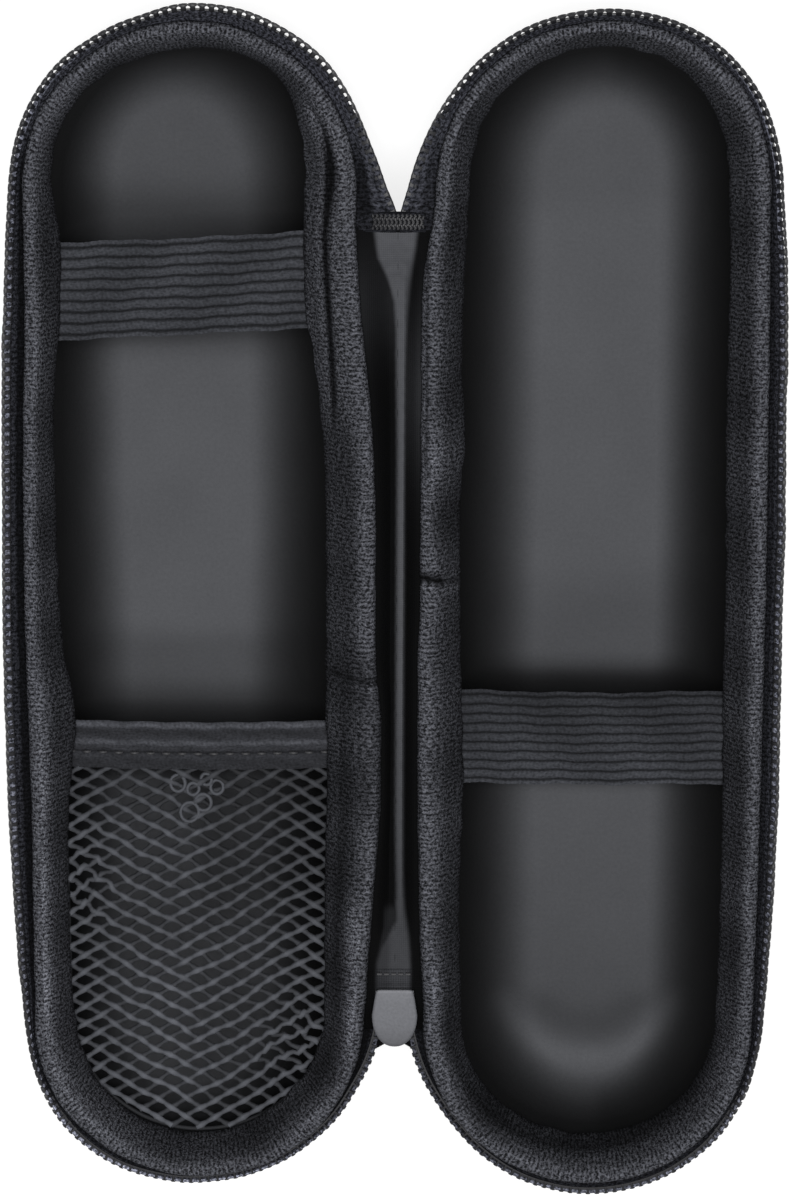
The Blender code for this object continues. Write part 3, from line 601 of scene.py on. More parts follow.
# Painted shadows across the lining: how strong, and the ramps along y that bound each
SHADOWS = {RIGHT: [(0.20, (-40, -55)), (0.85, (-10.2, -7), (-37.8, 3)), (0.10, (70, 8))],
           LEFT: [(0.20, (-40, -55)), (0.26, (-4.5, -6.5), (-38, 4)),
                  (0.70, (-14.8, -8.6), (-38, 4)), (0.47, (43, 8), (66, -3))]}


def pocket_light(x, y):
    """The painted light over the pocket: dimmer by the spine and lighter low on the outer side.
    """
    dim = 0.34 * ramp(x, 1, -5) * ramp(y, -68, 16)
    return (1 - dim) * (1 + 0.35 * bump(x, 6, 8) * ramp(y, -62, -14))


def tray_shade(points, side):
    """Painted light on the lining: full over the floor's middle, and falling towards its walls.
    """
    x, y = points[..., 0], points[..., 1]
    if side == LEFT:
        x = x - read(LEFT_SHIFT, y)
        start = read(LEFT_LIT, y)
        fade = 5.4
    else:
        x = x - 0.3
        start = 10.6 + 0.6 * smooth(x / 4)
        fade = 5.6 - 1.2 * smooth(x / 4)
    beyond = np.maximum(np.abs(y) - STRAIGHT_HALF, 0)
    radius = np.hypot(x, beyond)
    endwise = (beyond / np.maximum(radius, 0.001)) ** 2
    start = start + endwise * np.where(y > 0, 2.6, 5.6)
    fade = fade + endwise * np.where(y > 0, 0.8, -0.9)
    share = np.exp(-(np.maximum(radius - start, 0) / fade) ** 1.5)
    for strength, *bounds in SHADOWS[side]:
        for start, width in bounds:
            strength = strength * ramp(y, start, width)
        share = share * (1 - strength)
    if side == RIGHT:
        # Painted highlight in a ring round the right tray's lower end, with painted shade inside
        # it
        arc = np.hypot(x, y + 74.3)
        low_end = ramp(y, -76, -6)
        share = share * (1 + low_end * (0.48 * bump(arc, 17.8, 2.8) - 0.25 * bump(arc, 11, 4)))
        # Painted shade round the right strap, less of it further down
        share = share * (1 - 0.22 * ramp(y, 10, -14) * (1 - 0.6 * ramp(y, -30, -10)))
    else:
        # Painted shadow of the net over the pocket, under the pocket's painted light
        pocket = ramp(y, POCKET_TOP - 12, -4)
        share = share * (1 - pocket + pocket * 0.78 * pocket_light(x, y + 2.6))
        # Painted shade towards the upper end, and a painted shadow above the left strap
        share = share * (1 - 0.08 * ramp(y, 45, 20) - 0.09 * ramp(y, 70, 8))
        share = share * (1 - 0.57 * bump(y, 71.2, 6))
    return 0.03 + 0.97 * share


BOWL_STEPS = 400
WRINKLE_TOP = 19             # level below which the lining is wrinkled


def bowl(name, side, section, material, node, body, wrinkled=False):
    """A moulded layer, carried round the rim."""
    radius, height, inner_from = section
    runs = np.linspace(0, ROUND, BOWL_STEPS, endpoint=False)[:, None]
    radii = radius[None] * bow(runs)
    points = rim_point(runs, radii, height[None])
    if wrinkled:
        share = np.zeros(len(radius))
        share[inner_from:] = ramp(height[inner_from:], WRINKLE_TOP, -3)
        sway = np.sin(points[..., 0] * 0.55 + points[..., 1] * 0.31 + side)
        fold = np.sin(points[..., 1] * 0.9 - points[..., 0] * 0.4 + 2 * sway)
        points[..., 2] += share * (0.10 + 0.10 * sway + 0.05 * fold)
    shape = Shape()
    shape.grid(points, u=np.append(runs.ravel(), ROUND), wrap_u=True)
    shade = tray_shade(points, side) if wrinkled else None
    stand_in(shape.build(name, material, side, weld=True, shade=shade), node, body)


CREST_INSET = 1.8            # outer edge of the binding to its crest
CREST_LEVEL = 24.2
BINDING_BASE = 22.4
HEM_LEVEL = 16.7             # lowest level of the binding's hem
HEM_TOP_LEVEL = 20.2         # highest, where the hem is drawn tight over the wall
HEM_FOLD = 0.25
FLANK_POWER = 1.7
EDGE_SHADOW = 0.5            # dark foot of the binding's outer edge, where tape lies beside it


def binding_radii(side, run):
    """Outer and opening radius of the binding round a half, and the level of its hem."""
    outward = np.cos(rim_frame(run)[1])
    seen = read_round(EDGE[side], run) + EDGE_SHADOW * ramp(outward, 0.6, 0.3)
    outer = as_seen(run, seen, BINDING_BASE)
    seen = read_round(OPENING[side], run, soften=3.0)
    level = HEM_LEVEL
    for _ in range(4):
        opening = as_seen(run, seen, level)
        over = (opening + HEM_FOLD) / bow(run) - wall_radius(WALL_HEIGHT, LINING_FACE)
        level = np.clip(WALL_HEIGHT + over / math.tan(WALL_DRAFT), HEM_LEVEL, HEM_TOP_LEVEL)
    limit = wall_radius(level, LINING_FACE) * bow(run) - HEM_FOLD
    return outer, np.minimum(opening, limit), level


# Radius of the crease beside the left strap, by run
CREASE = [(40, 25.6), (50, 25.1), (60, 24.4), (70, 24.0), (80, 24.8), (92, 25.8)]
# Painted light bands and painted fold shadows along the binding: run, radius and strength
GLOW = {
    LEFT: [
        (82, 25.9, 0), (90, 25.9, 0.8), (98, 26, 0), (176, 27.6, 0), (190, 27.6, 0.8),
        (210, 27.8, 0.6), (230, 27.8, 0.2), (250, 27.9, 0.45), (270, 27.8, 0.8),
        (290, 27.8, 1.15), (330, 27.9, 1.5), (350, 28.2, 0.6), (364, 28.6, 0), (400, 28.8, 0),
        (412, 28.8, 0.8), (430, 28.8, 1.0), (444, 28.8, 0)],
    RIGHT: [
        (0, 28.9, 0.6), (50, 28.9, 0.6), (62, 28, 0), (82, 26.3, 0), (90, 26.3, 0.7),
        (130, 26.3, 0.7), (142, 26.3, 0), (318, 27, 0), (332, 27, 0.45), (345, 27, 0),
        (398, 29, 0), (410, 29, 0.55), (430, 29, 0.5), (450, 29, 0.7), (480, 28.9, 0.6)]}
FOLD = {
    LEFT: [
        (78, 29.3, 0), (88, 29.3, 0.6), (98, 29.3, 0.4), (106, 29.4, 0), (122, 29.5, 0),
        (130, 29.5, 0.45), (138, 29.5, 0), (356, 26.2, 0), (370, 26.2, 0.35), (390, 25.5, 0.6),
        (410, 25.9, 0.4), (430, 26.4, 0.6), (450, 27.6, 0.45), (470, 27.6, 0.4), (485, 27.6, 0)],
    RIGHT: [
        (78, 28.6, 0), (90, 28.6, 0.42), (130, 28.6, 0.45), (140, 28.6, 0), (322, 24.3, 0),
        (330, 24.3, 0.6), (350, 25.3, 0.72), (370, 26.0, 0.78), (390, 26.7, 0.72),
        (410, 26.8, 0.45), (425, 27, 0)]}


BAND_WIDTH = 1.4


def band(table, run, radius):
    """Strength of a listed band of painted light and shade at a run and radius."""
    place = read(table, run, 1, ROUND)
    return read(table, run, 2, ROUND) * bump(radius, place, BAND_WIDTH)


def crease_at(run):
    """How strong the crease is at a run, and its radius."""
    return ramp(run, 30, 14) * ramp(run, 100, -10), read(CREASE, run)


# Painted light and shade from the binding's crest to its hem: along the sides, and at both ends
BINDING_SHARES = [0, 0.1, 0.2, 0.32, 0.45, 0.6, 0.8, 0.92, 1.0]
BINDING_ALONG = [1.15, 1.0, 0.75, 0.50, 0.42, 0.44, 0.52, 0.46, 0.2]
BINDING_UPPER = {LEFT: [1.1, 1.0, 0.95, 0.92, 0.90, 0.86, 0.70, 0.50, 0.2],
                 RIGHT: [1.15, 0.95, 0.75, 0.62, 0.56, 0.54, 0.55, 0.50, 0.2]}
BINDING_LOWER = [1.1, 1.0, 0.80, 0.60, 0.56, 0.62, 0.66, 0.55, 0.25]


def binding_shade(side, run, radius, share):
    """Painted light and shade on the binding: a lit crest, a shaded valley and a lighter hem."""
    value, top, low = (np.interp(share, BINDING_SHARES, values)
                       for values in (BINDING_ALONG, BINDING_UPPER[side], BINDING_LOWER))
    centre, turn = rim_frame(run)
    place = centre + radius * np.sin(turn)
    value = value + ramp(place, 70, 18) * (top - value)
    value = value + ramp(place, -70, -18) * (low - value)
    value = value * (1 + 0.22 * waver(run, 51 + side, 8, 30))
    if side == LEFT:
        # Painted shadow in the crease beside the left strap, and painted light on the ridge
        # beyond it
        creased, crease = crease_at(run)
        ridge = np.interp(run, [74, 90, 106], [26.7, 27.7, 28.7])
        later = ramp(run, 70, 12)
        wide = 1.0 - 0.15 * ramp(radius, crease, -0.5) - 0.5 * ramp(radius, 21.0, -0.9)
        wide = wide - (later * 0.5 * ramp(radius - crease, -0.3, 0.6)
                       * ramp(radius, 28, -2))
        wide = wide + later * 0.5 * bump(radius, ridge, 0.45)
        dark = bump(radius, crease, 0.6 + 0.35 * later) * ramp(run, 96, -16)
        value = value + creased * (wide - dark - value)
    value = value * (1 + band(GLOW[side], run, radius)) * (1 - band(FOLD[side], run, radius))
    return np.maximum(value, 0.08)


def lap_line(side, run, radius):
    """Painted shadow where the binding's end laps its start, and a painted highlight beside it.
    """
    if side == RIGHT:
        place = np.interp(radius, [25, 29, 32], [5.4, 6.2, 7.2])
        outer_part = ramp(radius, 28, 1.2)
        depth = 0.6 + 0.4 * outer_part
        wide = 0.45 + 0.7 * outer_part
        lip = 0.5 - 0.3 * outer_part
    else:
        place = np.interp(radius, [25, 32.5], [478.2, 477.2])
        depth = 0.55 + 0.25 * np.cos(radius * 2.4)
        wide = 0.65
        lip = 0.15 + 0.35 * ramp(radius, 29, 2)
    past = np.mod(run - place + 9, ROUND) - 9
    return 1 - depth * bump(past, 0, wide) + lip * bump(past, -1.6, 0.8)


BINDING_STEPS = 1100
LAP_AT = {RIGHT: 6.4, LEFT: ROUND - 12.8}
LAP_LENGTH = 12              # over which the lap sinks back to the binding's height
LAP_RISE = 0.35
LAP_NOTCH = 0.6
CREASE_DEPTH = 1.2
CREASE_LIP = 0.8
HEM_GAP = 0.05               # hem to the lining that it lies against


def binding_form(side, runs):
    """The binding's section round the rim, with its lapped end, puckers and crease.

    It gives the turn over the edge, the share down the flank, and all radii and heights.
    """
    outer, opening, hem_level = binding_radii(side, runs)
    past = np.mod(runs - LAP_AT[side], ROUND)
    lap = LAP_RISE * np.clip(1 - past / LAP_LENGTH, 0, 1) ** 2
    notch = LAP_NOTCH * (bump(past, 0, 0.6) + bump(past, ROUND, 0.6))
    pucker = 0.10 * waver(runs, 5 + side, 60, 170) + 0.05 * waver(runs, 9 + side, 200, 420)
    outer = outer + 0.5 * (lap - notch) + 0.06 * waver(runs, 21 + side, 20, 90)
    crest = CREST_LEVEL + lap - notch + 0.5 * pucker
    opening = opening + 0.10 * waver(runs, 31 + side, 40, 90)
    seat = wall_radius(hem_level, LINING_FACE) * bow(runs) - HEM_GAP
    top_seat = wall_radius(WALL_HEIGHT, LINING_FACE) * bow(runs)
    low = hem_level[:, None]
    turn = np.linspace(0, math.pi / 2, 9)[None]
    crest_radius = outer[:, None] - CREST_INSET
    foot = BINDING_BASE + 0.1
    edge_height = foot + (crest[:, None] - BINDING_BASE - 0.1) * np.sin(turn)
    share = np.linspace(0, 1, 33)[None, 1:]
    wall = (wall_radius(WALL_HEIGHT, LINING_FACE) - 0.1) * bow(runs)
    wall_share = np.clip((crest_radius[:, 0] - wall) / (crest_radius[:, 0] - opening), 0.05, 0.9)
    wall_fall = (CREST_LEVEL - WALL_HEIGHT - 0.3) / (CREST_LEVEL - hem_level)
    power = np.clip(np.log(wall_fall) / np.log(wall_share), FLANK_POWER, 6.0)
    fall = share ** power[:, None]
    radius = crest_radius + (opening[:, None] - crest_radius) * share
    height = low + (crest[:, None] - low) * (1 - fall)
    height = height + pucker[:, None] * np.sin(math.pi * share) * 1.2
    if side == LEFT:
        creased, crease = crease_at(runs[:, None])
        height = height - CREASE_DEPTH * creased * bump(radius, crease, 0.55)
        height = height + CREASE_LIP * creased * bump(radius, crease - 1.9, 1.1)
    behind = [opening + 0.1, np.maximum(seat, opening + 0.2), np.maximum(top_seat, opening + 0.5),
              outer - 1.6, outer - 0.3]
    back_level = np.full(len(runs), BINDING_BASE - 0.1)
    behind_height = [hem_level - 0.35, hem_level - 0.35, np.full(len(runs), WALL_HEIGHT + 0.05),
                     back_level, back_level]
    radii = [crest_radius + CREST_INSET * np.cos(turn), radius, np.stack(behind, 1)]
    heights = [edge_height, height, np.stack(behind_height, 1)]
    return turn, share, np.concatenate(radii, 1), np.concatenate(heights, 1)


def rim_binding(prefix, side, body):
    """The bound rim."""
    runs = np.linspace(0, ROUND, BINDING_STEPS, endpoint=False)
    turn, share, radii, heights = binding_form(side, runs)
    column = runs[:, None]
    points = rim_point(column, radii, heights)
    width = arc_length(points[0])
    shape = Shape()
    shape.grid(points, u=np.append(runs, ROUND) * 1.1, v=np.append(width, width[-1] + 1),
               wrap_u=True, wrap_v=True)
    edge, flank, behind = np.split(radii, [turn.size, turn.size + share.size], axis=1)
    # Painted shade: the outer edge darkens towards its foot
    soften = 0.8 + 0.4 * ramp(column, 390, 20) * ramp(column, 480, -10)
    edge_shade = 0.2 + 0.95 * smooth(turn / soften)
    flank_shade = binding_shade(side, column, flank, share)
    if side == RIGHT:
        # Painted shadow of a fold along the right binding's outer edge
        folded = ramp(column, 22, 8) * ramp(column, 70, -6)
        edge_shade = edge_shade * (1 - 0.65 * folded * bump(edge, 31.9, 0.35))
    else:
        # Painted shade: the crest and the top of the flank are dimmer towards the left binding's
        # lap
        crest_shade = 0.42 * ramp(column, 444, 10) * ramp(column, 486, -8)
        edge_shade = edge_shade * (1 - crest_shade)
        flank_shade = flank_shade * (1 - crest_shade * ramp(share, 0.4, -0.3))
    edge_shade = edge_shade * lap_line(side, column, edge)
    flank_shade = flank_shade * lap_line(side, column, flank)
    shade = np.concatenate([edge_shade, flank_shade, np.full(behind.shape, 0.1)], 1)
    stand_in(shape.build(prefix + "_binding_tape", BINDING, side, sharp=70,
                         shade=shade), prefix + "_rim_binding", body)


SEAM_LEVEL = 19.9
STITCH_PITCH = 3.0
STITCH_LENGTH = 1.9
STITCH_RADIUS = 0.22


def seam_stitches(prefix, side, body):
    """The rim's seam: a dash of thread for each stitch, round the skin under the tape."""
    shape = Shape()
    radius = wall_radius(SEAM_LEVEL) + STITCH_RADIUS * 0.7
    around = 4 * STRAIGHT_HALF + 2 * math.pi * radius
    count = int(around // STITCH_PITCH)
    sunk = radius - 0.30 * np.linspace(-1, 1, 5) ** 4
    for index in range(count):
        runs = index * ROUND / count + np.linspace(-0.5, 0.5, 5) * STITCH_LENGTH
        shape.tube(rim_point(runs, sunk * bow(runs), SEAM_LEVEL), STITCH_RADIUS, 5)
    stand_in(shape.build(prefix + "_seam_stitches", THREAD, side),
             prefix + "_rim_thread", body)


# Zip
ROW_RISE = 2.2
ZIP_START = 73.6
ZIP_STOP = 410.5             # inside the slider
FLARE_LENGTH = 45.0
TAPE_SEWN_WIDTH = 2.0        # tape under the binding
TAPE_THICKNESS = 0.6
TOOTH_PITCH = 1.7
TOOTH_TIP = 0.62             # row's line to the tips
TOOTH_HALF_HEIGHT = 0.42
ROW_RUNS = np.arange(ZIP_START, ZIP_STOP, 0.2)
TAPE_RUNS = slice(None, None, 5)  # of these, the runs at which the tape has points
# How far the tape ends short of the row of teeth, by run: the floor shows there between two
# teeth, and where it is negative the tape does
GAPS = {
    LEFT: [
        (75, -0.5), (88, -0.4), (93, 0.3), (100, 0.75), (140, 0.75), (155, 0.5), (168, 0.1),
        (180, -0.1), (195, -0.25), (411, -0.25)],
    RIGHT: [
        (75, -0.5), (88, -0.4), (93, 0.3), (100, 0.75), (155, 0.75), (168, 0.45), (182, 0.1),
        (200, -0.1), (215, -0.25), (411, -0.25)]}


def tape_shade(side, share, run):
    """Painted light and shade on the zip's tape, binding to row, grey between the teeth."""
    groove, lower = (0.15, 1.9) if side == LEFT else (0.4, 1.0)
    shade = np.interp(share, [0, 0.1, 0.36, 0.50, 0.60, 0.68, 0.78, 0.90, 1],
                      [0.2, groove, groove, 0.85, 1.0, 0.5, 0.9, 1.1, 0.6])
    top_end = ramp(np.sin(rim_frame(run)[1]), 0.1, 0.3)
    shade = shade + top_end * (1.0 - shade)
    later = run - 312
    shade = shade * (1 + (lower - 1) * ramp(later, 0, 15) * ramp(later, 90, -20))
    shade = shade * (1 - 0.5 * ramp(later, 60, 20))
    shade = shade * (1 + 0.5 * top_end + 0.7 * ramp(run, 92, -12))
    # Painted light on the tape's end, where it shows between the teeth
    gleam = ramp(share, 0.74, 0.07) * ramp(run, 130, 30)
    return shade * (1 + 5.0 * gleam)


def zip_tape(prefix, side, edge, reach, lift):
    """The tape, from under the binding's edge outwards by a reach and upwards by a lift."""
    run, edge, reach, lift = (row[TAPE_RUNS, None] for row in (ROW_RUNS, edge, reach, lift))
    share = np.concatenate([[-0.8], np.linspace(0, 1, 12)])[None]
    width = np.where(share < 0, edge - TAPE_SEWN_WIDTH, edge + reach * share)
    level = TAPE_LEVEL + lift * np.clip(share, 0, 1) ** 1.3
    level = level + 0.15 * np.sin(share * 3 * math.pi) ** 2 * (share > 0)
    shape = Shape()
    shape.sheet(rim_point(run, width, level), TAPE_THICKNESS, u=np.append(run, 0),
                v=np.linspace(0, 5, share.size))
    tape = shape.build(prefix + "_zip_ribbon", TAPE, side,
                       shade=both_faces(tape_shade(side, share, run)))
    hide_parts(prefix + "_zip_tape")
    return tape


def tooth():
    """One tooth's points, along the row, outwards and upwards, and its faces."""
    outline = np.array([(-0.50, -1.10), (-0.47, 0.15), (-0.62, 0.30), (-0.80, 0.36),
                        (-0.72, 0.54), (0.0, TOOTH_TIP), (0.72, 0.54), (0.80, 0.36),
                        (0.62, 0.30), (0.47, 0.15), (0.50, -1.10)])
    middle = np.array([0.0, 0.1])
    corners = len(outline)
    rings = [points_at(*(middle + (outline - middle) * size).T, TOOTH_HALF_HEIGHT * share)
             for share, size in ((-1.0, 0.6), (-0.55, 1.0), (0.55, 1.0), (1.0, 0.6))]
    faces = []
    for base in range(0, (len(rings) - 1) * corners, corners):
        for corner in range(corners):
            after = (corner + 1) % corners
            faces.append([base + corner, base + after, base + corners + after,
                          base + corners + corner])
    faces.append(list(range(corners))[::-1])
    faces.append(list(range((len(rings) - 1) * corners, len(rings) * corners)))
    return np.concatenate(rings), faces


def zip_row(prefix, side, line, lean, low):
    """The row of teeth at one pitch along a line, and the two cords that run through it."""
    arc = arc_length(line)
    stops = np.arange(0.5 * TOOTH_PITCH, arc[-1], TOOTH_PITCH)
    places, ahead, before = (between(stops + step, arc, line) for step in (0, 0.3, -0.3))
    along = unit(ahead - before)
    outward = np.cross(UPWARD, along)
    outward *= np.where((outward * places).sum(1) < 0, -1, 1)[:, None]
    tilt = np.interp(stops, arc, lean)[:, None]
    reach = unit(outward) * np.cos(tilt) + UPWARD * np.sin(tilt)
    slim = 1 - 0.42 * np.interp(stops, arc, low)[:, None]
    shape = Shape()
    shape.stamp(*tooth(), places, np.stack([along * slim, reach, np.cross(along, reach)], 1))
    reaches = between(arc, stops, reach)
    shape.tube((line - 0.85 * reaches)[::5], 0.28)
    shape.tube((line + (0.40 - 0.9 * low[:, None]) * reaches)[::4], 0.19)
    teeth = shape.build(prefix + "_zip_row", TEETH, side, sharp=40)
    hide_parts(prefix + "_zip_teeth")
    return teeth


def zip_side(prefix, side):
    """The tape and the row of teeth round a half."""
    low = ramp(ROW_RUNS - BOTTOM_START, 4, 22)
    nearest = np.minimum(ROW_RUNS - ZIP_START, ZIP_STOP - ROW_RUNS) * 1.1
    rise = ROW_RISE * smooth(nearest / FLARE_LENGTH) * (1 - low)
    height = TAPE_LEVEL + rise
    tips = as_seen(ROW_RUNS, read_round(TIPS[side], ROW_RUNS, soften=2.0), height)
    radius = tips - 0.2 + 0.04 * waver(ROW_RUNS, 41 + side, 20, 60)
    edge = binding_radii(side, ROW_RUNS)[0]
    lean = np.arctan2(rise, np.maximum(radius - edge, 0.5)) - 0.35 * low
    gap = read(GAPS[side], ROW_RUNS)
    tape = zip_tape(prefix, side, edge, radius - edge - gap * np.cos(lean),
                    rise - gap * np.sin(lean))
    teeth = zip_row(prefix, side, rim_point(ROW_RUNS, radius, height), lean, low)
    for piece in (tape, teeth):
        spine_blend(piece)


def spine_blend(piece):
    """Bake the piece's transform into its mesh."""
    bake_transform(piece)


# Straps, hem and net
FITTING_TOP = 16.1
STRAP_WIDTH = 18.0
STRAP_THICKNESS = 1.0
STRAP_ARCH = 1.6
STRAP_MIDDLE = {RIGHT: -24.95, LEFT: 60.2}
STRAP_SLOPE = {RIGHT: 0.0, LEFT: -math.tan(math.radians(3.1))}
STRAP_RIBS = {RIGHT: 10, LEFT: 9}
ELASTIC_THICKNESS = 0.7      # of the cloth, between its ribs' crests and grooves
POCKET_TOP = -22.2
HEM_WIDTH = 9.0              # elastic, and the folded top of the net under it
HEM_SEAM = 5.9               # its upper edge to its row of stitches
HEM_STITCH_RADIUS = 0.30


def fitting_span(level, y, count=121):
    """Shares of a fitting's span from -1 to 1, and the places x from wall to wall there."""
    share = np.linspace(-1, 1, count)[:, None]
    return share, (wall_radius(level, LINING_FACE) - 0.1) * bowed(y, share > 0) * share


def strap(prefix, side, body):
    """A ribbed elastic strap, arched a little and drawn in between its sewn ends."""
    middle = STRAP_MIDDLE[side]
    across = np.linspace(-1, 1, 109)[None]
    level = FITTING_TOP - STRAP_THICKNESS / 2
    share, x = fitting_span(level - 1, middle)
    narrow = 1 - 0.02 * (1 - share ** 2)
    rib = np.cos(math.pi * STRAP_RIBS[side] * (across + 1))
    wander = 0.12 * np.sin(x * 0.35 + across * 3) + 0.08 * np.sin(x * 0.9 + 1.3 * side)
    y = middle + STRAP_WIDTH / 2 * across * narrow + x * STRAP_SLOPE[side] + wander
    arch = STRAP_ARCH * (1 - share ** 2) ** 2
    knit = 0.05 * np.sin(x * 5.2) * np.sin(across * 40)
    curl = -0.35 * np.abs(across) ** 8
    z = level + arch + 0.22 * rib * (1 - 0.4 * np.abs(across)) + knit + curl
    shape = Shape()
    shape.sheet(points_at(x, y, z), ELASTIC_THICKNESS, u=np.append(x[:, 0], 0),
                v=STRAP_WIDTH / 2 * across[0])
    # Painted shade in the grooves between the ribs; the right strap darkens towards its upper
    # edge
    shade = 0.24 + 0.76 * smooth(0.66 + 0.75 * rib) + 0 * share
    shade = shade * (0.84 - 0.26 * across if side == RIGHT else 1.0)
    shade = shade * (1 + 0.12 * np.sin(x * 0.31 + across * 2))
    piece = shape.build(prefix + "_elastic_strap", STRAP, side, sharp=60,
                        shade=both_faces(shade))
    stand_in(piece, prefix + "_strap", body)
    span = float(x[-1, 0] - x[0, 0]) * MM


def pocket_hem(side, body):
    """The pocket's elastic hem: two ridges, a row of stitches, and the net's folded top."""
    down = np.linspace(0, HEM_WIDTH, 65)[None]
    level = FITTING_TOP - 1.1
    share, x = fitting_span(level - 1, POCKET_TOP)
    y = POCKET_TOP - down - 0.5 * (1 - share ** 2) + 0.08 * np.sin(x * 0.8)
    ridge = 0.5 * bump(down, 0.6, 0.5) + 0.4 * bump(down, 3.9, 0.5)
    seam = 0.35 * bump(down, 5.9, 0.45)
    z = level + ridge - seam + 0.03 * np.sin(x * 6.3) + 0.25 * (1 - share ** 2)
    shape = Shape()
    shape.sheet(points_at(x, y, z), ELASTIC_THICKNESS, u=np.append(x[:, 0], 0), v=down[0])
    # Painted light on the two ridges, painted shade between them, at the seam and over the lower
    # band
    shade = 0.50 + 0.55 * bump(down, 0.5, 0.45) + 0.42 * bump(down, 3.9, 0.4)
    shade = shade - 0.16 * bump(down, 2.0, 0.8) - 0.28 * bump(down, 5.8, 0.5)
    shade = shade - 0.15 * ramp(down, 6.4, 1.0)
    shade = shade * (1 + 0.16 * np.sin(x * 0.5 + down * 2) * np.sin(x * 0.17 + 2))
    hem = shape.build("pocket_elastic_hem", HEM, side, sharp=60,
                      shade=both_faces(shade))
    stand_in(hem, "pocket_hem", body)
    stitches = Shape()
    row = np.linspace(-0.5, 0.5, 5)
    for x_at in STITCH_PITCH * np.arange(-8, 9):
        sag = 1 - (x_at / 26) ** 2
        lift = level + 0.5 - 0.35 * np.abs(2 * row) ** 4 + 0.25 * sag
        y_at = POCKET_TOP - HEM_SEAM - 0.5 * sag
        stitches.tube(points_at(x_at + row * 1.3, y_at, lift), HEM_STITCH_RADIUS)
    sewn = stitches.build("pocket_hem_stitches", THREAD, side)
    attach(sewn, body)
    return [hem, sewn]


NET_CELL_WIDTH = 5.5
NET_CELL_HEIGHT = 3.4
NET_LEVEL = 14.9
NET_YARN = 0.56              # radii of a strand, of the border and of loose yarn
NET_BORDER = 0.45
NET_LOOSE_YARN = 0.34
# Rings of loose yarn under the hem: place x and y, and radius
NET_RINGS = [(1.0, -35.7, 1.1), (-0.9, -38.3, 1.5), (1.7, -40.2, 1.7), (-3.5, -35.3, 1.2),
             (-1.5, -33.8, 1.0), (3.9, -34.6, 1.4)]
# Where the family of strands that catches the light changes, by y: the point of the V, and the
# points of the two inverted Vs beside it
NET_VALLEY = [(-84, 1.5), (-73, 2.6), (-67, 5.2), (-56, 5.2), (-46, 2.4), (-30, 1.0)]
NET_OUTER_RIDGE = [(-80, 18.0), (-68, 18.5), (-57, 20.4), (-50, 20.8), (-44, 19.7), (-40, 17),
                   (-36, 15), (-31, 12)]
NET_SPINE_RIDGE = [(-80, -21.0), (-52, -20.5), (-45, -18), (-36, -17.3), (-31, -15.6)]


def inside_pocket(x, y, reach):
    """How far a point is inside the pocket's outline, negative outside."""
    below = np.minimum(y + STRAIGHT_HALF, 0)
    return np.where(y < -STRAIGHT_HALF, reach - np.hypot(x, below),
                    reach * bowed(y, x > 0) - np.abs(x))


def drape(points, reach):
    """Pull the net slack: down in its middle, and across by slow sines."""
    x, y = points[:, 0], points[:, 1]
    edge = np.clip(inside_pocket(x, y, reach) / 9, 0, 1)
    top = np.clip((POCKET_TOP - HEM_WIDTH - y) / 6, 0, 1)
    free = smooth(edge) * smooth(top)
    out = points.copy()
    out[:, 0] += free * (0.35 * np.sin(y * 0.42 + 0.8) + 0.15 * np.sin(y * 0.95 + x * 0.3))
    out[:, 1] += free * (0.35 * np.sin(x * 0.30 + 0.5) + 0.15 * np.sin(x * 0.9 + y * 0.25))
    loose = bump(y, -54, 9) * bump(x, 21, 5) + bump(y, -86, 9) * bump(x, -17, 7)
    out[:, 0] += 0.55 * loose * np.sin(y * 2.1 + x * 0.7)
    out[:, 1] += 0.45 * loose * np.sin(x * 2.3 - y * 0.9)
    out[:, 2] += free * (-1.0 + 0.35 * np.sin(x * 0.4 + y * 0.3))
    out[:, 2] += 0.12 * np.sin(x * 1.9 + y * 1.3)
    return out


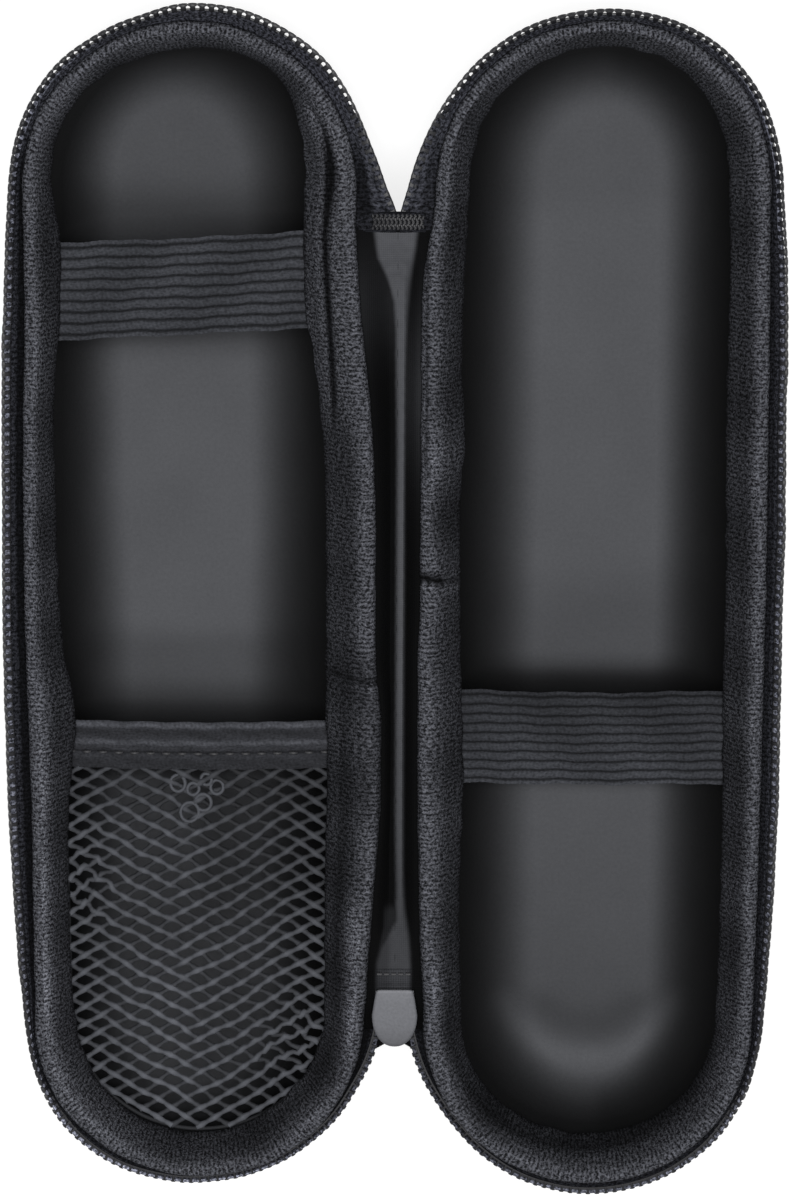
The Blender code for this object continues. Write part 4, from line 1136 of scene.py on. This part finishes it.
def pocket_net(side, body):
    """The net: both families of strands, each a tube that runs from border to border."""
    reach = float(wall_radius(NET_LEVEL, LINING_FACE)) - 0.5
    top = POCKET_TOP - HEM_WIDTH + 0.9
    shape = Shape()
    shades = []
    slope = NET_CELL_HEIGHT / NET_CELL_WIDTH
    length = STRAIGHT_HALF + reach + top
    lines = math.ceil((2 * reach * slope + length) / NET_CELL_HEIGHT) + 2
    for lean in (1, -1):
        for index in range(-lines, lines):
            x = np.arange(-reach - 2, reach + 2, NET_CELL_WIDTH / 8)
            y = top - 0.9 + index * NET_CELL_HEIGHT + lean * slope * x
            keep = (inside_pocket(x, y, reach) > 0) & (y < top)
            if keep.sum() < 4:
                continue
            x, y = x[keep], y[keep]
            weave = 0.10 * lean * np.sin(2 * math.pi * x / NET_CELL_WIDTH)
            valley, outer, inner = (
                read(table, y) for table in (NET_VALLEY, NET_OUTER_RIDGE, NET_SPINE_RIDGE))
            first = smooth((x - valley) / 4 + 0.5) * smooth((outer - x) / 3 + 0.5)
            first = first + smooth((inner - x) / 3 + 0.5)
            upper = first if lean == 1 else 1 - first
            z = NET_LEVEL + weave + 0.3 * (upper - 0.5)
            z = z - 0.7 * ramp(y - top, -1.6, 1.2)
            knot = np.cos(4 * math.pi * x / NET_CELL_WIDTH)
            shape.tube(drape(points_at(x, y, z), reach), NET_YARN * (1 + 0.22 * knot))
            # Painted light: brighter on the upper family, dimmer under the hem, lighter at the
            # knots
            middle = ramp(np.abs(x), 21, -8)
            lit = 0.62 - 0.22 * middle + (0.38 + 0.22 * middle) * upper
            lit = lit * pocket_light(x, y) * (1 - 0.3 * ramp(y, -44, 8))
            shades.append(np.repeat(lit * (0.88 + 0.22 * knot), 6))
    turns = np.linspace(math.pi, 2 * math.pi, 60)
    sides = np.linspace(top, -STRAIGHT_HALF, 30)[:-1]
    left = np.stack([-reach - 0 * sides, sides], 1)
    arc = np.stack([reach * np.cos(turns), -STRAIGHT_HALF + reach * np.sin(turns)], 1)
    border = np.concatenate([left, arc, (left * [-1, 1])[::-1]])
    border[:, 0] *= bowed(border[:, 1], border[:, 0] > 0)
    shape.tube(points_at(*border.T, NET_LEVEL), NET_BORDER)
    shades.append(np.full(len(border) * 6, 0.2))
    turns = np.linspace(0, 2 * math.pi, 24, endpoint=False)
    for x, y, radius in NET_RINGS:
        ring = points_at(x + radius * np.cos(turns), y + radius * 1.1 * np.sin(turns),
                         NET_LEVEL - 0.2 + 0.3 * np.sin(turns + x))
        shape.tube(ring, NET_LOOSE_YARN, closed=True)
        shades.append(np.full(len(ring) * 6, 0.9))
    net = shape.build("pocket_net_strands", NET, side, sharp=80,
                      shade=np.concatenate(shades))
    stand_in(net, "pocket_net", body)


# Spine
GUSSET_TOP = 71.2
GUSSET_BOTTOM = -69.0
START_BAND_TOP = 74.4
TAIL_BAND_BOTTOM = -82.6
TROUGH_DEPTH = 4.2
TROUGH_FLOOR = 1.15
UNDER_BINDING = 3.9


def spine_edge(side, y):
    """Distance from the spine to the binding's outer edge at a place y."""
    run = np.where(y >= 0, y, ROUND + y)
    return HALF_SPACING - binding_radii(side, np.clip(run, 0, ROUND))[0]


def spine_half(prefix, side, low, high, depth_at, thickness, material, steps,
               name, ripple=0.0, point=0.0):
    """One half of a fabric strip across the spine, from its middle to under the binding."""
    y = np.linspace(low, high, steps)[:, None]
    share = np.linspace(0, 1, 33)[None]
    reach = (spine_edge(side, y[:, 0]) + UNDER_BINDING)[:, None]
    x = reach * share
    wall = np.maximum(reach - UNDER_BINDING - 0.2, TROUGH_FLOOR + 1.0)
    fall = 1 - ramp(x, TROUGH_FLOOR, wall - TROUGH_FLOOR)
    z = TAPE_LEVEL - depth_at(y) * fall
    z = z + ripple * np.sin(y * 1.7 + x) * np.sin(y * 0.6 + 1) * fall
    # The spine's painted lit strip; the start band's tape is evenly darker
    shade = 0.5 + 0 * z if material == TAPE else lit_strip(side * x, y)
    y = y - point * x * ramp(y, low + 3, -3)
    points = points_at(side * x, y, z)
    shape = Shape()
    shape.sheet(points, thickness, u=np.linspace(0, high - low, steps + 1), v=share[0] * 9)
    piece = shape.build(prefix + name, material, shade=both_faces(shade))
    spine_blend(piece)
    return piece, points


# Edges of the spine's lit strip, by y: beyond them the fabric turns down out of the light
STRIP_LEFT = [(-84, -3.5), (-67.5, -3.4), (-64.5, -2.6), (-62, -0.9), (-60, 0.3), (-57, 0.2),
              (-54, 0.3), (-50, 0.2), (-40, 0.05), (30, 0.1), (45, -0.15), (53, -0.3),
              (58, -0.75), (62, -2.0), (66, -3.7), (71.5, -4.3)]
STRIP_RIGHT = [(-84, 2.8), (-67.5, 2.9), (-62, 2.7), (-57, 2.0), (-50, 1.7), (21.5, 1.6),
               (45, 1.75), (55, 2.1), (62, 2.6), (71.5, 3.5)]


def lit_strip(x, y):
    """Painted light on the spine fabric: a strip between two edges, which widens at both ends."""
    left = read(STRIP_LEFT, y)
    right = read(STRIP_RIGHT, y)
    lower = 1 - 0.16 * ramp(y, -10, -25) - 0.22 * ramp(y, -40, -25)
    beside = ramp(x, right + 0.6, -1.2)
    strip = ramp(x - left, -0.6, 1.2) * beside
    around = 0.13 * bump(y, 58, 9) * ramp(x, 1, -2) + 0.25 * bump(y, 42, 14) * smooth(x - 1)
    low_edge = np.interp(y, [-68, -61], [-3.9, -2.7])
    low_left = 0.22 * ramp(x, low_edge, 0.6) * beside
    low_left = low_left * ramp(y, -56.5, -2)
    strip = strip * (1 - 0.35 * ramp(x, -0.3, -1.5) * ramp(y, -60, -4))
    # Painted shade under the slider
    hidden = ramp(y, -79, 4)
    return (0.02 + 0.98 * lower * np.maximum(strip, np.maximum(around, low_left))) * hidden


def trough(y):
    """Depth of the spine's trough: none at both ends, full over the middle."""
    return TROUGH_DEPTH * ramp(y, GUSSET_TOP, -13) * ramp(y, GUSSET_BOTTOM, 17)


def band_stitches():
    """The thread over the zip's sewn start, a zigzag, and the dashes above the slider."""
    shape = Shape()
    step = np.arange(6 * 24)
    x = np.linspace(-4.6, 4.6, step.size)
    height = TAPE_LEVEL + 1.05 + 0.18 * np.sin(step * 2.1)
    for level, phase in ((73.3, 0), (72.1, 1)):
        wave = np.abs(np.mod(step / 6 + phase, 2) - 1)
        shape.tube(points_at(x, level + 1.3 * (wave - 0.5), height), 0.24)
    for index in range(5):
        x = -2.9 + 1.35 * index + np.linspace(-0.45, 0.45, 5)
        shape.tube(points_at(x, -69.6, TAPE_LEVEL + 0.68), 0.3)
    return shape.build("band_stitches", THREAD)


def spine_fabric():
    """The gusset, the sewn start of the zip, and the sewn band above the slider."""
    for prefix, side in HALVES.items():
        body = prefix + "_half"
        gusset, points = spine_half(prefix, side, GUSSET_BOTTOM, GUSSET_TOP, trough, 0.7,
                                    SPINE, 240, "_spine_fabric", ripple=0.12)
        start, _ = spine_half(prefix, side, GUSSET_TOP - 0.4, START_BAND_TOP,
                              lambda y: -0.55 - 0.3 * np.abs(np.sin(y * 2.2)), 0.6,
                              TAPE, 40, "_start_band")
        tail, _ = spine_half(prefix, side, TAIL_BAND_BOTTOM, GUSSET_BOTTOM + 0.3,
                             lambda y: 0.5 * ramp(y, -71, -1.2) - 0.4, 0.5,
                             TAIL, 60, "_tail_band", point=0.55)
        if side == RIGHT:
            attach(band_stitches(), "spine")
            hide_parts("spine_gusset")
            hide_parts("zip_start_tab")
            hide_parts("zip_tail")


# Slider
SLIDER_TAIL = -72.4
SLIDER_LENGTH = 11.3
SLIDER_HALF_WIDTH = 4.3
SLIDER_TAIL_HALF_WIDTH = 3.6
SLIDER_WIDEST = SLIDER_TAIL - 0.44 * SLIDER_LENGTH
PLATE_THICKNESS = 0.75
CHANNEL_HALF = 1.1
FLANGE_HALF = (0.35, 2.9, 0.40)  # half sizes
POST_HALF = (0.7, 1.0, 1.3)
# The bridge for the tab, along the slider and up from its hidden face
BRIDGE = [(-3.3, 0.15), (-3.3, -1.6), (-2.7, -2.5), (-1.8, -2.7), (1.8, -2.7), (2.7, -2.5),
          (3.3, -1.6), (3.3, 0.15)]
BRIDGE_RADIUS = 0.5


def slider_outline(count=96):
    """A plate's outline: a straight tail with small corners, and a round mouth end."""
    turn = np.linspace(0, 2 * math.pi, count, endpoint=False)
    cos, sin = np.cos(turn), np.sin(turn)
    tail = sin > 0
    x = SLIDER_HALF_WIDTH * np.sign(cos) * np.abs(cos) ** np.where(tail, 0.16, 0.92)
    y = np.where(tail, np.abs(sin) ** 0.16 * (SLIDER_TAIL - SLIDER_WIDEST),
                 -np.abs(sin) ** 0.92 * (SLIDER_WIDEST - SLIDER_TAIL + SLIDER_LENGTH))
    share = smooth(y / (SLIDER_TAIL - SLIDER_WIDEST))
    return x * (1 - (1 - SLIDER_TAIL_HALF_WIDTH / SLIDER_HALF_WIDTH) * share), y


def rounded_box(shape, middle, half):
    """A box with cut edges, added to a shape as rings stacked upwards."""
    turn = np.arange(8) * math.pi / 4 + math.pi / 8
    flat = np.stack([np.sign(np.cos(turn)) * np.abs(np.cos(turn)) ** 0.4,
                     np.sign(np.sin(turn)) * np.abs(np.sin(turn)) ** 0.4], 1)
    rings = [(0.0, -1.0), (0.8, -1.0), (1.0, -0.7), (1.0, 0.7), (0.8, 1.0), (0.0, 1.0)]
    grid = np.array([points_at(middle[0] + flat[:, 0] * half[0] * size,
                               middle[1] + flat[:, 1] * half[1] * size,
                               middle[2] + half[2] * level) for size, level in rings])
    shape.grid(grid, wrap_v=True)


def slider():
    """Two rounded plates, flanges, the post between them, and the bridge for the tab."""
    x, y = slider_outline()
    shape = Shape()
    for face in (1, -1):
        near = CHANNEL_HALF
        far = CHANNEL_HALF + PLATE_THICKNESS
        rings = [(0.0, near), (0.9, near), (0.985, near + 0.08), (1.0, near + 0.25),
                 (1.0, far - 0.35), (0.985, far - 0.15), (0.945, far - 0.03), (0.88, far),
                 (0.6, far + 0.05), (0.3, far + 0.07), (0.0, far + 0.08)]
        grid = np.array([points_at(x * size, SLIDER_WIDEST + y * size, TAPE_LEVEL + face * level)
                         for size, level in rings])
        shape.grid(grid, wrap_v=True)
    for side in (1, -1):
        for face in (1, -1):
            rounded_box(shape, (side * 3.35, SLIDER_TAIL - 3.2, TAPE_LEVEL + face * 0.95),
                        FLANGE_HALF)
    rounded_box(shape, (0, -82.2, TAPE_LEVEL), POST_HALF)
    front = TAPE_LEVEL - CHANNEL_HALF - PLATE_THICKNESS
    middle = SLIDER_TAIL - SLIDER_LENGTH / 2
    path = np.array([(0, middle + along, front + drop) for along, drop in BRIDGE])
    shape.tube(np.concatenate([np.linspace(a, b, 6)[:-1] for a, b in zip(path, path[1:])] +
                              [path[-1:]]), BRIDGE_RADIUS, 8)
    # Painted shade: the casting darkens from its tail towards its mouth end
    along = (SLIDER_TAIL - np.concatenate(shape.points)[:, 1]) / SLIDER_LENGTH
    piece = shape.build("slider_casting", SLIDER, weld=True, sharp=35,
                        shade=1.04 - 0.10 * along - 0.22 * ramp(along, 0.6, 0.4))
    stand_in(piece, "slider_body", "spine")


def dress_nodes():
    """Give the kept solids their finishes."""
    for name, material in (("right_foam_shell", FOAM), ("left_foam_shell", FOAM),
                           ("pull_tab", METAL)):
        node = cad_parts[name]
        node.data.materials.clear()
        node.data.materials.append(material)


def build_case():
    """All pieces of the case."""
    skin = bowl_section(bowl_face(0.0), bowl_face(SKIN_THICKNESS))
    lining = bowl_section(bowl_face(LINING_DEPTH), lining_face(LINING_FACE))
    for prefix, side in HALVES.items():
        body = prefix + "_half"
        bowl(prefix + "_outer_fabric", side, skin, SKIN,
             prefix + "_outer_skin", body)
        bowl(prefix + "_lining_fabric", side, lining, LINING,
             prefix + "_lining", body, wrinkled=True)
        rim_binding(prefix, side, body)
        seam_stitches(prefix, side, body)
        zip_side(prefix, side)
    for prefix, side in HALVES.items():
        strap(prefix, side, prefix + "_half")
    hem = pocket_hem(LEFT, "left_half")
    pocket_net(LEFT, "left_half")
    spine_fabric()
    slider()
    dress_nodes()


# Stage
CAMERA_TARGET = Vector((0.0001, 0.0025, 0.0219))
CAMERA_ROLL = math.radians(0.26)
CAMERA_LENS = 113.3
FLOOR_HALF = 2.0             # metres
FLOOR_DROP = 0.05 * MM       # under the case's backs
FLOOR_GLOW = 1.42
LAMP_PLACE = (0.0, 0.10, 1.1)
LAMP_SIZE = (0.7, 0.6)
LAMP_POWER = 12
SURROUND_LIGHT = 0.10        # what lights the case, and what the camera sees
SURROUND_SHOWN = 1.0


def camera():
    """The photograph's view: from above, leaning towards the case's upper end."""
    data = bpy.data.cameras.new("camera")
    data.lens = CAMERA_LENS
    data.sensor_width = 36
    data.clip_start = 0.01
    eye = add_object("camera", data)
    back = (CAMERA_PLACE - CAMERA_TARGET).normalized()
    right = Vector((0, 1, 0)).cross(back).normalized()
    upward = back.cross(right)
    turn = Matrix((right, upward, back)).transposed().to_4x4()
    roll = Matrix.Rotation(CAMERA_ROLL, 4, "Z")
    eye.matrix_world = Matrix.Translation(CAMERA_PLACE) @ turn @ roll
    bpy.context.scene.camera = eye


def shown_rays(nodes, links):
    """1 for rays from the camera, from gloss and through glass, which show the white surround."""
    path = nodes.new("ShaderNodeLightPath")
    total = path.outputs["Is Camera Ray"]
    for ray in ("Is Glossy Ray", "Is Transmission Ray"):
        adder = nodes.new("ShaderNodeMath")
        links.new(total, adder.inputs[0])
        links.new(path.outputs[ray], adder.inputs[1])
        total = adder.outputs[0]
    return total


def stage():
    """A white floor that keeps its shadow, a soft light overhead and a white surround."""
    mesh = bpy.data.meshes.new("floor")
    corners = [(-1, -1), (1, -1), (1, 1), (-1, 1)]
    mesh.from_pydata([(x * FLOOR_HALF, y * FLOOR_HALF, -FLOOR_DROP) for x, y in corners], [],
                     [(0, 1, 2, 3)])
    floor = add_object("floor", mesh)
    finish = Finish("floor_white")
    glow = finish.node("ShaderNodeEmission", {}, {"Strength": FLOOR_GLOW})
    shown = Socket(finish, shown_rays(finish.nodes, finish.links))
    distance = finish.node("ShaderNodeVectorMath", {"operation": "LENGTH"}, {0: finish.place()},
                           output=1)
    share = shown * (0.55 + 0.45 * finish.step(distance, 0.5, 1.4))
    lit = Socket(finish, finish.shader.outputs[0])
    mixed = finish.node("ShaderNodeMixShader", {}, {0: share, 1: lit, 2: glow})
    finish.feed(finish.nodes["Material Output"].inputs["Surface"], mixed)
    mesh.materials.append(finish.finish((0.85, 0.85, 0.85), 0.9, Specular_IOR_Level=0.0))

    light = bpy.data.lights.new("overhead", "AREA")
    light.shape = "RECTANGLE"
    light.size, light.size_y = LAMP_SIZE
    light.energy = LAMP_POWER
    add_object("overhead", light).location = LAMP_PLACE

    world = bpy.data.worlds.new("surround")
    world.use_nodes = True
    nodes, links = world.node_tree.nodes, world.node_tree.links
    mixer = nodes.new("ShaderNodeMixShader")
    links.new(shown_rays(nodes, links), mixer.inputs[0])
    for place, name, strength in ((1, "Background", SURROUND_LIGHT), (2, None, SURROUND_SHOWN)):
        background = nodes[name] if name else nodes.new("ShaderNodeBackground")
        background.inputs["Color"].default_value = (1, 1, 1, 1)
        background.inputs["Strength"].default_value = strength
        links.new(background.outputs[0], mixer.inputs[place])
    links.new(mixer.outputs[0], nodes["World Output"].inputs["Surface"])
    bpy.context.scene.world = world
    bpy.context.scene.view_settings.view_transform = "Standard"


build_case()
camera()
stage()
